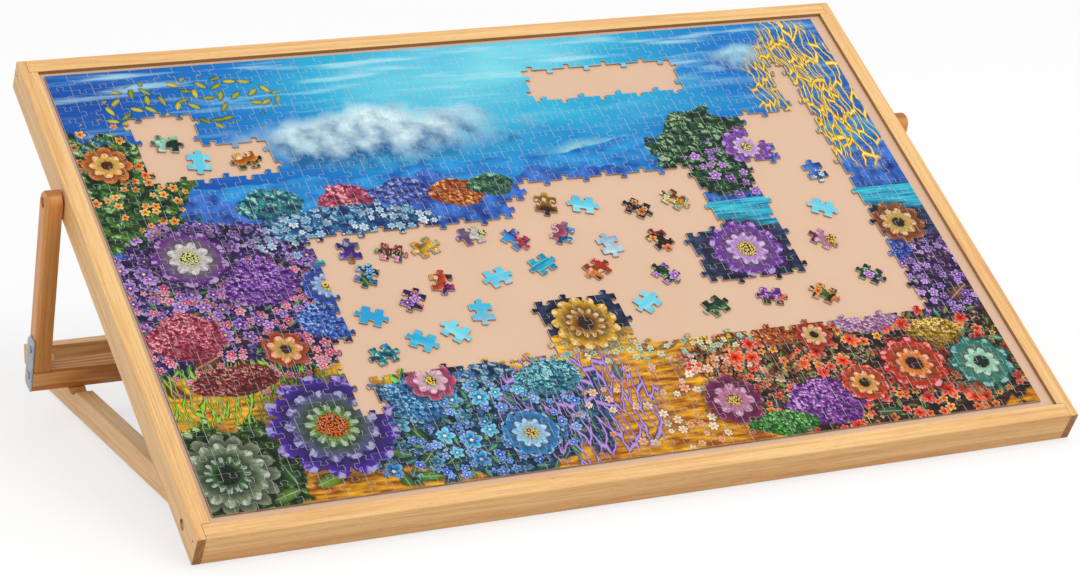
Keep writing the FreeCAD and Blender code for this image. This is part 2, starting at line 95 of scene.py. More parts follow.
class Graph:
    """Adds nodes to a node tree, each one after the nodes that it reads."""

    def __init__(self, tree: Tree) -> None:
        """Takes the tree that gets the nodes."""
        self.tree = tree

    def node(self, kind: str, **settings: object) -> bpy.types.Node:
        """Adds a node.

        Args:
            kind: Blender's name of the node type.
            settings: Properties to set on it.

        Returns:
            The node.
        """
        made = self.tree.nodes.new(kind)
        row, column = divmod(len(self.tree.nodes), NODES_IN_A_ROW)
        made.location = (NODE_SPACING[0] * column, -NODE_SPACING[1] * row)
        for name, value in settings.items():
            setattr(made, name, value)
        return made

    def feed(self, socket: Socket, value: Input) -> None:
        """Links a socket to another, or sets its own value.

        Args:
            socket: The input.
            value: An output socket, a number, a vector or a colour.
        """
        if isinstance(value, Socket):
            self.tree.links.new(value, socket)
        else:
            socket.default_value = value

    def out(self, kind: str, inputs: dict[int | str, Input], index: int = 0, **settings: object) -> Socket:
        """Adds a node and feeds it.

        Args:
            kind: Blender's name of the node type.
            inputs: What it takes, by the input's number or name.
            index: Number of the output.
            settings: Properties to set on it.

        Returns:
            The output.
        """
        made = self.node(kind, **settings)
        for key, value in inputs.items():
            self.feed(made.inputs[key], value)
        return made.outputs[index]

    def math(self, kind: str, *values: Input, clamp: bool = False) -> Socket:
        """Returns the result of an operation on numbers, held between 0 and 1 if clamp is set."""
        return self.out("ShaderNodeMath", dict(enumerate(values)), operation=kind, use_clamp=clamp)

    def mul(self, *values: Input, clamp: bool = False) -> Socket:
        """Returns the product of two numbers."""
        return self.math("MULTIPLY", *values, clamp=clamp)

    def madd(self, *values: Input, clamp: bool = False) -> Socket:
        """Returns the product of the first two numbers, plus the third."""
        return self.math("MULTIPLY_ADD", *values, clamp=clamp)

    def vector(self, kind: str, *values: Input) -> Socket:
        """Returns the result of an operation on vectors, a number for a length."""
        inputs = dict(enumerate(values))
        return self.out("ShaderNodeVectorMath", inputs, int(kind == "LENGTH"), operation=kind)

    def scaled(self, place: Input, factor: Input) -> Socket:
        """Returns a vector times a number."""
        return self.out("ShaderNodeVectorMath", {0: place, "Scale": factor}, operation="SCALE")

    def turned(self, place: Input, axis: str, angle: Input) -> Socket:
        """Returns a vector turned about the main axis X, Y or Z by an angle in radians."""
        inputs = {"Vector": place, "Angle": angle}
        return self.out("ShaderNodeVectorRotate", inputs, rotation_type=axis + "_AXIS")

    def split(self, place: Input) -> tuple[Socket, ...]:
        """Returns a vector's three numbers."""
        return tuple(self.out("ShaderNodeSeparateXYZ", {0: place}).node.outputs)

    def parts(self, colour: Input) -> tuple[Socket, ...]:
        """Returns a colour's three shares."""
        return tuple(self.out("ShaderNodeSeparateColor", {0: colour}).node.outputs)

    def join(self, *numbers: Input) -> Socket:
        """Returns a vector made of three numbers."""
        return self.out("ShaderNodeCombineXYZ", dict(enumerate(numbers)))

    def mix(self, share: Input, under: Input, over: Input, blend: str = "MIX") -> Socket:
        """Returns the lower colour with a share of the upper colour over it, in the given way of mixing."""
        inputs = {0: share, 6: under, 7: over}
        return self.out("ShaderNodeMix", inputs, 2, data_type="RGBA", blend_type=blend)

    def rise(self, value: Input, low: Input, high: Input) -> Socket:
        """Returns the soft step from 0 at low to 1 at high."""
        inputs = {"Value": value, "From Min": low, "From Max": high}
        return self.out("ShaderNodeMapRange", inputs, interpolation_type="SMOOTHSTEP")

    def fall(self, value: Input, low: Input, high: Input) -> Socket:
        """Returns the soft step from 1 at low to 0 at high."""
        return self.math("SUBTRACT", 1.0, self.rise(value, low, high))

    def noise(self, place: Input, detail: float = 2.0) -> Socket:
        """Returns cloudy noise about 0.5, its patches one unit wide."""
        return self.out("ShaderNodeTexNoise", {"Vector": place, "Scale": 1.0, "Detail": detail})

    def cells(self, place: Input, spread: float = 1.0, feature: str = "F1") -> Outputs:
        """Cell texture in the plane, its cells about one unit wide.

        Args:
            place: Where.
            spread: How unevenly the cells lie, 0 to 1.
            feature: Blender's name of what it measures.

        Returns:
            The texture's outputs.
        """
        inputs = {"Vector": place, "Scale": 1.0, "Randomness": spread}
        first = self.out("ShaderNodeTexVoronoi", inputs, voronoi_dimensions="2D", feature=feature)
        return first.node.outputs

    def ramp(self, share: Input, stops: list[tuple[float, Colour]]) -> Socket:
        """Colour scale.

        Args:
            share: Place on the scale.
            stops: Places and colours in order.

        Returns:
            The colour.
        """
        made = self.node("ShaderNodeValToRGB")
        self.feed(made.inputs[0], share)
        marks = made.color_ramp.elements
        marks.remove(marks[-1])
        marks[0].position, marks[0].color = stops[0]
        for position, colour in stops[1:]:
            marks.new(position).color = colour
        return made.outputs[0]

    def effect(self, tree: Tree, values: dict[str, Input]) -> Outputs:
        """Places a node group with its inputs by name, and returns its outputs."""
        return self.out("ShaderNodeGroup", values, node_tree=tree).node.outputs


class Effect(Graph):
    """A shader node group with named inputs and outputs."""

    def __init__(self, name: str, inputs: dict[str, float | tuple], outputs: dict[str, str]) -> None:
        """Opens the group.

        Args:
            name: Its name.
            inputs: Names and values: a number, a vector of three or a colour of four.
            outputs: Names and kinds: Float, Vector or Color.
        """
        super().__init__(bpy.data.node_groups.new(name, "ShaderNodeTree"))
        for label, value in inputs.items():
            kind = "Float" if isinstance(value, float) else "Vector" if len(value) == 3 else "Color"
            socket = self.tree.interface.new_socket(label, in_out="INPUT", socket_type="NodeSocket" + kind)
            socket.default_value = value
        for label, kind in outputs.items():
            self.tree.interface.new_socket(label, in_out="OUTPUT", socket_type="NodeSocket" + kind)
        self.given = self.node("NodeGroupInput").outputs

    def __getitem__(self, label: str) -> Socket:
        """Returns the socket that brings an input into the group."""
        return self.given[label]

    def close(self, results: dict[str, Socket]) -> Tree:
        """Links the outputs.

        Args:
            results: Sockets by output name.

        Returns:
            The finished group.
        """
        end = self.node("NodeGroupOutput")
        for label, socket in results.items():
            self.feed(end.inputs[label], socket)
        return self.tree


class Surface(Graph):
    """A material with one shader and its bump."""

    def __init__(self, name: str, **plain: float) -> None:
        """Opens the material.

        Args:
            name: Its name.
            plain: Shader values that are the same all over, with _ for spaces.
        """
        self.material = bpy.data.materials.new(name)
        self.material.use_nodes = True
        super().__init__(self.material.node_tree)
        self.tree.nodes.clear()
        self.shader = self.node("ShaderNodeBsdfPrincipled")
        self.end = self.node("ShaderNodeOutputMaterial").inputs["Surface"]
        self.feed(self.end, self.shader.outputs[0])
        for label, value in plain.items():
            self.shader.inputs[label.replace("_", " ")].default_value = value

    def finish(self, colour: Input, roughness: Input, height: Socket, depth: float) -> Material:
        """Links colour, roughness and bump.

        Args:
            colour: Base colour.
            roughness: Roughness.
            height: Height of the bump, about 0 to 1.
            depth: What a height of 1 is, in millimetres.

        Returns:
            The material.
        """
        self.feed(self.shader.inputs["Base Color"], colour)
        self.feed(self.shader.inputs["Roughness"], roughness)
        bump = self.out("ShaderNodeBump", {"Strength": 1.0, "Distance": depth / PER_METRE, "Height": height})
        self.feed(self.shader.inputs["Normal"], bump)
        return self.material


# Finishes

def wood_effect() -> Tree:
    """Returns the group for planed wood: growth rings, fibres, pores and end grain."""
    g = Effect(
        "wood_grain",
        {"Along": 0.0, "Across": 0.0, "Depth": 0.0, "Seed": 0.0, "End": 0.0, "Pitch": 2.6, "Lines": 0.2,
         "Light": BLACK, "Dark": BLACK, "Cut": BLACK},
        {"Colour": "Color", "Roughness": "Float", "Height": "Float"},
    )
    along, across, depth, seed = (g[k] for k in ("Along", "Across", "Depth", "Seed"))

    def stretched(run: float, width: float) -> Socket:
        """Returns the place in units of a run along the grain and a width across it."""
        place = g.vector("DIVIDE", g.join(along, across, depth), (run, width, width))
        return g.vector("ADD", place, seed)

    sway = g.noise(stretched(190.0, 26.0))
    aside = g.madd(seed, 7.0, g.math("ADD", across, 9.0))
    far = g.vector("LENGTH", g.join(aside, g.math("ADD", depth, 41.0), 0.0))
    ring = g.madd(g.math("SUBTRACT", sway, 0.5), 4.4, g.math("DIVIDE", far, g["Pitch"]))
    wave = g.madd(g.math("SINE", g.mul(ring, TURN)), 0.5, 0.5)
    line = g.math("POWER", wave, 1.6)
    fibre = g.noise(stretched(24.0, 0.5), 3.0)
    broad = g.noise(stretched(240.0, 5.5))
    pores = g.rise(g.noise(stretched(5.5, 0.42)), 0.62, 0.74)
    streak = g.rise(g.noise(stretched(150.0, 1.3)), 0.54, 0.72)
    share = g.madd(g.math("SUBTRACT", fibre, 0.5), 1.4, g.mul(line, g["Lines"]))
    share = g.madd(g.math("SUBTRACT", broad, 0.4), 1.6, share, clamp=True)
    colour = g.mix(share, g["Light"], g["Dark"])
    colour = g.mix(g.mul(streak, 0.24), colour, g["Cut"])
    colour = g.mix(g.mul(pores, 0.4), colour, g["Cut"])
    cut = g.mix(g.mul(wave, 0.3), g["Cut"], g["Dark"])
    colour = g.mix(g.mul(g["End"], 0.85), colour, cut)
    rough = g.madd(fibre, 0.16, g.madd(g["End"], 0.2, 0.36))
    height = g.madd(line, -0.3, fibre)
    height = g.madd(pores, -0.6, height)
    return g.close({"Colour": colour, "Roughness": rough, "Height": height})


def mottle_effect() -> Tree:
    """Returns the group for fine specks and soft clouds that break up an even surface."""
    g = Effect(
        "fine_mottle",
        {"Place": ORIGIN, "Speck": 0.5, "Cloud": 30.0},
        {"Specks": "Float", "Clouds": "Float"},
    )
    specks = g.noise(g.scaled(g["Place"], g.math("DIVIDE", 1.0, g["Speck"])), 3.0)
    clouds = g.noise(g.scaled(g["Place"], g.math("DIVIDE", 1.0, g["Cloud"])), 4.0)
    return g.close({"Specks": specks, "Clouds": clouds})


@dataclass(frozen=True)
class GrainRun:
    """The grain of one piece: its lean about X, its run along X or not, its seed and its lines' depth."""

    lean: float
    crosswise: bool
    seed: float
    lines: float = 0.2


@dataclass(frozen=True)
class WoodFinish:
    """Planed and satin varnished softwood."""

    light: Colour
    dark: Colour
    cut: Colour
    pitch: float
    effect: Tree
    # Darker brown, and how much of it the walls facing into the tray take
    inner_wall: Colour = tone("70421e")
    inner_wall_cover: float = 0.72
    inner_wall_facing: tuple[float, float] = (0.7, 0.95)
    end_facing: tuple[float, float] = (0.75, 0.95)
    relief: float = 0.09

    def material(self, name: str, run: GrainRun, inner: tuple[float, float] = (0.0, 0.0)) -> Material:
        """Makes one piece's wood.

        Args:
            name: The piece.
            run: How its grain lies.
            inner: Direction, along X and up the tray, of a wall that is coloured a darker brown.

        Returns:
            The material.
        """
        g = Surface("wood_" + name, Coat_Weight=0.12, Coat_Roughness=0.3, Specular_IOR_Level=0.35)
        at = g.node("ShaderNodeTexCoord").outputs
        place = g.scaled(g.turned(at["Object"], "X", -run.lean), PER_METRE)
        x, y, z = g.split(place)
        facing_x, facing_y, _ = g.split(g.turned(at["Normal"], "X", -run.lean))
        along, across, end = (x, y, facing_x) if run.crosswise else (y, x, facing_y)
        wood = g.effect(self.effect, {
            "Along": along, "Across": across, "Depth": z, "Seed": run.seed,
            "End": g.rise(g.math("ABSOLUTE", end), *self.end_facing),
            "Pitch": self.pitch, "Lines": run.lines,
            "Light": self.light, "Dark": self.dark, "Cut": self.cut,
        })
        # Walls that face into the tray, towards the puzzle, are coloured a darker brown.
        inner_wall = g.madd(facing_x, inner[0], g.mul(facing_y, inner[1]))
        cover = g.mul(g.rise(inner_wall, *self.inner_wall_facing), self.inner_wall_cover)
        colour = g.mix(cover, wood["Colour"], self.inner_wall)
        return g.finish(colour, wood["Roughness"], wood["Height"], self.relief)


@dataclass(frozen=True)
class PlainFinish:
    """An even board, sheet or card with specks, clouds and a fine tooth."""

    light: Colour
    dark: Colour
    speck: float
    cloud: float
    contrast: float
    roughness: float
    tooth: float
    effect: Tree

    def material(self, name: str) -> Material:
        """Makes the material.

        Args:
            name: Its name.

        Returns:
            The material.
        """
        g = Surface(name, Specular_IOR_Level=0.3)
        place = g.scaled(g.node("ShaderNodeTexCoord").outputs["Object"], PER_METRE)
        mottle = g.effect(self.effect, {"Place": place, "Speck": self.speck, "Cloud": self.cloud})
        both = g.math("ADD", mottle["Specks"], mottle["Clouds"])
        share = g.madd(g.math("SUBTRACT", both, 1.0), self.contrast, 0.5, clamp=True)
        colour = g.mix(share, self.dark, self.light)
        rough = g.madd(mottle["Specks"], 0.14, self.roughness)
        return g.finish(colour, rough, mottle["Specks"], self.tooth)


class Plating(Enum):
    """Ways in which the steel parts are plated."""

    GALVANISED = "galvanised"
    BRIGHT = "bright"
    DULL = "dull"


@dataclass(frozen=True)
class SteelFinish:
    """Plated steel with zinc's flowers or the marks of a tumbled screw."""

    plating: Plating
    light: Colour
    dark: Colour
    flower: float
    effect: Tree

    def material(self) -> Material:
        """Returns the material."""
        g = Surface("steel_" + self.plating.value, Metallic=1.0)
        place = g.scaled(g.node("ShaderNodeTexCoord").outputs["Object"], PER_METRE)
        _, y, z = g.split(place)
        mottle = g.effect(self.effect, {"Place": place, "Speck": 0.35, "Cloud": 9.0})
        flowers = g.cells(g.scaled(g.join(y, z, 0.0), 1 / self.flower))
        patch, _, _ = g.parts(flowers["Color"])
        share = g.madd(mottle["Clouds"], 0.6, g.mul(patch, 0.4))
        colour = g.mix(share, self.dark, self.light)
        rough = g.madd(mottle["Specks"], 0.2, g.madd(patch, 0.12, 0.26))
        return g.finish(colour, rough, mottle["Specks"], 0.02)


# The printed picture, in millimetres from its lower left corner

PATCH = {"Centre": ORIGIN, "Spread": (50.0, 50.0, 1.0)}


def layer(name: str, inputs: dict[str, float | tuple]) -> Effect:
    """Opens the group of one layer of the picture.

    Args:
        name: The layer's name.
        inputs: What it takes beside the layers under it and the place.

    Returns:
        The open group.
    """
    return Effect("print_" + name, {"Under": BLACK, "Place": ORIGIN, **inputs}, {"Over": "Color"})


def away(g: Effect) -> Socket:
    """Returns the way from a patch's middle, about 1 long at its rim."""
    return g.vector("DIVIDE", g.vector("SUBTRACT", g["Place"], g["Centre"]), g["Spread"])


def rim(g: Effect, fray: float, step: float) -> Socket:
    """Distance from the middle of a patch, 1 at its frayed rim.

    Args:
        g: The layer, with the inputs Centre and Spread.
        fray: How ragged the rim is.
        step: How fine its rags are, in millimetres.

    Returns:
        The distance.
    """
    ragged = g.noise(g.scaled(g["Place"], 1 / step), 4.0)
    return g.madd(g.math("SUBTRACT", ragged, 0.5), fray, g.vector("LENGTH", away(g)))


def sky_effect() -> Tree:
    """Returns the sky: a bright middle, deep corners and drawn-out clouds."""
    g = layer("sky", {"Middle": ORIGIN, "Reach": (1.0, 1.0, 1.0)})
    place = g["Place"]
    drift = g.noise(g.vector("DIVIDE", place, (170.0, 60.0, 1.0)), 4.0)
    offset = g.vector("DIVIDE", g.vector("SUBTRACT", place, g["Middle"]), g["Reach"])
    far = g.madd(g.math("SUBTRACT", drift, 0.5), 0.55, g.vector("LENGTH", offset))
    colour = g.ramp(far, [
        (0.0, tone("88deea")), (0.25, tone("32b4d8")), (0.5, tone("0680c8")),
        (0.75, tone("045cb0")), (1.0, tone("043c8c")),
    ])
    streaks = g.noise(g.vector("DIVIDE", place, (110.0, 11.0, 1.0)), 6.0)
    _, y, _ = g.split(place)
    high = g.rise(y, 360.0, 500.0)
    veil = g.mul(g.rise(streaks, 0.5, 0.72), high)
    colour = g.mix(g.mul(veil, 0.75), colour, tone("cef0f6"))
    low = g.mul(g.rise(streaks, 0.58, 0.75), 0.3)
    return g.close({"Over": g.mix(low, colour, tone("5abee1"))})


def cloud_effect() -> Tree:
    """Returns one soft cloud, lit from above."""
    g = layer("cloud", {**PATCH, "Dark": BLACK, "Light": BLACK})
    body = g.fall(rim(g, 1.5, 40.0), 0.45, 1.0)
    _, high, _ = g.split(away(g))
    puffs = g.noise(g.scaled(g["Place"], 1 / 20), 6.0)
    share = g.madd(high, 0.55, g.madd(puffs, 2.2, -0.6), clamp=True)
    colour = g.mix(share, g["Dark"], g["Light"])
    return g.close({"Over": g.mix(body, g["Under"], colour)})


def ridge_effect() -> Tree:
    """Returns everything below a wavy line: hills, water or ground."""
    g = layer("ridge", {
        "Level": 200.0, "Relief": 20.0, "Run": 80.0, "Texture": (10.0, 10.0, 1.0),
        "Dark": BLACK, "Light": BLACK,
    })
    x, y, _ = g.split(g["Place"])
    waves = g.noise(g.join(g.math("DIVIDE", x, g["Run"]), g.mul(g["Level"], 0.1), 0.0), 4.0)
    line = g.madd(g.math("SUBTRACT", waves, 0.5), g.mul(g["Relief"], 3.0), g["Level"])
    below = g.math("SUBTRACT", line, y)
    grain = g.noise(g.vector("DIVIDE", g["Place"], g["Texture"]), 6.0)
    sun = g.fall(below, 0.0, 70.0)
    share = g.madd(g.math("SUBTRACT", grain, 0.5), 3.0, g.madd(sun, 0.35, 0.35), clamp=True)
    colour = g.mix(share, g["Dark"], g["Light"])
    return g.close({"Over": g.mix(g.rise(below, 0.0, 1.2), g["Under"], colour)})


def clump_effect() -> Tree:
    """Returns a patch of foliage made of lobes, lit from the upper left."""
    g = layer("clump", {**PATCH, "Leaf": 6.0, "Dark": BLACK, "Light": BLACK})
    distance = rim(g, 0.9, 26.0)
    fine = g.scaled(g["Place"], g.math("DIVIDE", 1.0, g["Leaf"]))
    sway = g.noise(g.scaled(fine, 0.8), 3.0)
    fine = g.vector("ADD", fine, g.join(g.mul(sway, 2.6), g.mul(sway, -1.8), 0.0))
    cells = g.cells(fine)
    tint, bright, _ = g.parts(cells["Color"])
    leaf = g.cells(g.scaled(fine, 2.3))
    lobe = g.mul(g.fall(cells["Distance"], 0.1, 0.75),
                  g.madd(g.fall(leaf["Distance"], 0.1, 0.65), 0.75, 0.4))
    mottle = g.noise(g.scaled(g["Place"], 0.045), 3.0)
    share = g.mul(lobe, g.madd(bright, 0.9, 0.4))
    aside, high, _ = g.split(away(g))
    sunlit = g.madd(g.madd(aside, -0.5, high), 0.42, 1.0)
    share = g.mul(share, sunlit)
    share = g.mul(share, g.madd(mottle, 3.0, -0.45), clamp=True)
    colour = g.mix(share, g["Dark"], g["Light"])
    colour = g.mix(g.mul(tint, 0.3), colour, g["Dark"])
    colour = g.mix(g.mul(g.rise(share, 0.7, 1.0), 0.35), colour, (1.0, 1.0, 0.8, 1.0))
    return g.close({"Over": g.mix(g.fall(distance, 0.9, 0.98), g["Under"], colour)})


def blossom_effect() -> Tree:
    """Returns a patch of many small flowers."""
    g = layer("blossoms", {
        **PATCH, "Size": 15.0, "Petals": 5.0, "Density": 0.7,
        "First": BLACK, "Second": BLACK, "Heart": BLACK,
    })
    distance = rim(g, 0.7, 40.0)
    fine = g.scaled(g["Place"], g.math("DIVIDE", 1.0, g["Size"]))
    cells = g.cells(fine, 0.8)
    chance, hue, spin = g.parts(cells["Color"])
    x, y, _ = g.split(g.vector("SUBTRACT", fine, cells["Position"]))
    angle = g.madd(spin, TURN, g.math("ARCTAN2", y, x))
    lobes = g.math("ABSOLUTE", g.math("COSINE", g.mul(angle, g.mul(g["Petals"], 0.5))))
    reach = g.mul(g.madd(lobes, 0.23, 0.22), g.madd(spin, 0.55, 0.72))
    ratio = g.math("DIVIDE", cells["Distance"], reach)
    there = g.mul(g.math("LESS_THAN", chance, g["Density"]), g.fall(distance, 0.9, 1.0))
    shade = g.mul(g.fall(ratio, 0.9, 1.5), there)
    under = g.mix(g.mul(shade, 0.55), g["Under"], BLACK)
    petal = g.mix(hue, g["First"], g["Second"])
    petal = g.mix(g.fall(ratio, 0.2, 0.75), petal, BLACK, "SOFT_LIGHT")
    petal = g.mix(g.mul(g.rise(ratio, 0.6, 0.95), 0.3), petal, WHITE)
    veins = g.noise(g.join(g.mul(angle, 5.0), g.mul(ratio, 1.5), chance), 2.0)
    petal = g.mix(g.mul(g.fall(veins, 0.3, 0.6), 0.3), petal, BLACK)
    petal = g.mix(g.mul(g.fall(ratio, 0.15, 0.6), 0.7), petal, g["First"], "MULTIPLY")
    bed = g.noise(g.scaled(g["Place"], 0.04), 3.0)
    colour = g.mix(g.fall(ratio, 0.14, 0.22), petal, g["Heart"])
    colour = g.mix(g.mul(g.fall(bed, 0.3, 0.52), 0.7), colour, under)
    mask = g.mul(g.fall(ratio, 0.88, 1.0), there)
    return g.close({"Over": g.mix(mask, under, colour)})


def rosette_effect() -> Tree:
    """Returns one large flower with rings of overlapping petals."""
    g = layer("rosette", {
        "Centre": ORIGIN, "Radius": 30.0, "Petals": 11.0, "Rings": 4.0,
        "Inner": BLACK, "Outer": BLACK, "Heart": BLACK,
    })
    offset = g.vector("SUBTRACT", g["Place"], g["Centre"])
    x, y, _ = g.split(offset)
    wobble = g.noise(g.scaled(g["Place"], 0.12), 2.0)
    ratio = g.math("DIVIDE", g.vector("LENGTH", offset), g["Radius"])
    ratio = g.madd(g.math("SUBTRACT", wobble, 0.5), 0.14, ratio)
    ring = g.math("FLOOR", g.mul(ratio, g["Rings"]))
    angle = g.madd(ring, 0.9, g.math("ARCTAN2", y, x))
    lobes = g.math("ABSOLUTE", g.math("COSINE", g.mul(angle, g.mul(g["Petals"], 0.5))))
    edge = g.madd(g.math("POWER", lobes, 0.6), 0.24, 0.76)
    tip = g.math("FRACT", g.madd(lobes, -0.35, g.mul(ratio, g["Rings"])))
    veins = g.noise(g.join(g.mul(angle, 9.0), g.mul(ratio, 3.0), 0.0), 3.0)
    lit = g.mul(g.rise(tip, 0.0, 0.8), g.madd(lobes, 0.55, 0.45))
    lit = g.mul(lit, g.madd(veins, 1.5, 0.2), clamp=True)
    body = g.mix(g.rise(ratio, 0.15, 0.8), g["Inner"], g["Outer"])
    body = g.mix(g.madd(lit, -0.72, 0.72), body, BLACK)
    body = g.mix(g.mul(g.rise(lit, 0.72, 1.0), 0.35), body, WHITE)
    seeds = g.cells(g.scaled(g["Place"], 0.55))
    heart = g.mix(g.rise(seeds["Distance"], 0.1, 0.7), g["Heart"], BLACK)
    colour = g.mix(g.fall(ratio, 0.2, 0.26), body, heart)
    dark = g.mul(g.fall(ratio, 0.9, 1.25), 0.6)
    under = g.mix(dark, g["Under"], BLACK)
    return g.close({"Over": g.mix(g.fall(g.math("DIVIDE", ratio, edge), 0.97, 1.0), under, colour)})


def leaf_effect() -> Tree:
    """Returns a patch of scattered leaves, each turned its own way."""
    g = layer("leaves", {**PATCH, "Size": 15.0, "Density": 0.7, "First": BLACK, "Second": BLACK})
    distance = rim(g, 0.6, 40.0)
    fine = g.scaled(g["Place"], g.math("DIVIDE", 1.0, g["Size"]))
    cells = g.cells(fine, 0.7)
    chance, hue, spin = g.parts(cells["Color"])
    local = g.turned(g.vector("SUBTRACT", fine, cells["Position"]), "Z", g.mul(spin, TURN))
    x, y, _ = g.split(local)
    ratio = g.vector("LENGTH", g.join(g.math("DIVIDE", x, 0.46), g.math("DIVIDE", y, 0.2), 0.0))
    there = g.mul(g.math("LESS_THAN", chance, g["Density"]), g.fall(distance, 0.9, 1.0))
    rib = g.fall(g.math("ABSOLUTE", y), 0.008, 0.03)
    leaf = g.mix(hue, g["First"], g["Second"])
    leaf = g.mix(g.mul(g.rise(ratio, 0.4, 1.0), 0.45), leaf, BLACK)
    side = g.math("ABSOLUTE", g.math("SINE", g.madd(x, 60.0, g.mul(g.math("ABSOLUTE", y), -90.0))))
    leaf = g.mix(g.mul(side, 0.22), leaf, BLACK)
    leaf = g.mix(g.mul(rib, 0.28), leaf, (1.0, 1.0, 0.6, 1.0))
    under = g.mix(g.mul(g.mul(g.fall(ratio, 1.0, 1.4), there), 0.5), g["Under"], BLACK)
    return g.close({"Over": g.mix(g.mul(g.fall(ratio, 0.92, 1.0), there), under, leaf)})


def twig_effect() -> Tree:
    """Returns a patch of slender branching twigs."""
    g = layer("twigs", {**PATCH, "Mesh": (9.0, 34.0, 1.0), "Dark": BLACK, "Light": BLACK})
    distance = rim(g, 0.5, 30.0)
    bend = g.noise(g.scaled(g["Place"], 0.025), 3.0)
    x, y, _ = g.split(g["Place"])
    fine = g.vector("DIVIDE", g.join(g.madd(bend, 26.0, x), y, 0.0), g["Mesh"])
    gap = g.cells(fine, 1.0, "DISTANCE_TO_EDGE")["Distance"]
    wide = g.madd(g.noise(g.scaled(g["Place"], 0.11)), 0.2, 0.03)
    colour = g.mix(g.rise(g.math("DIVIDE", gap, wide), 0.1, 0.95), g["Light"], g["Dark"])
    mask = g.mul(g.fall(g.math("DIVIDE", gap, wide), 0.9, 1.25), g.fall(distance, 0.85, 1.0))
    return g.close({"Over": g.mix(mask, g["Under"], colour)})


class Motif(Enum):
    """Kinds of layers in the picture."""

    SKY = "sky"
    CLOUD = "cloud"
    RIDGE = "ridge"
    CLUMP = "clump"
    BLOSSOMS = "blossoms"
    ROSETTE = "rosette"
    LEAVES = "leaves"
    TWIGS = "twigs"


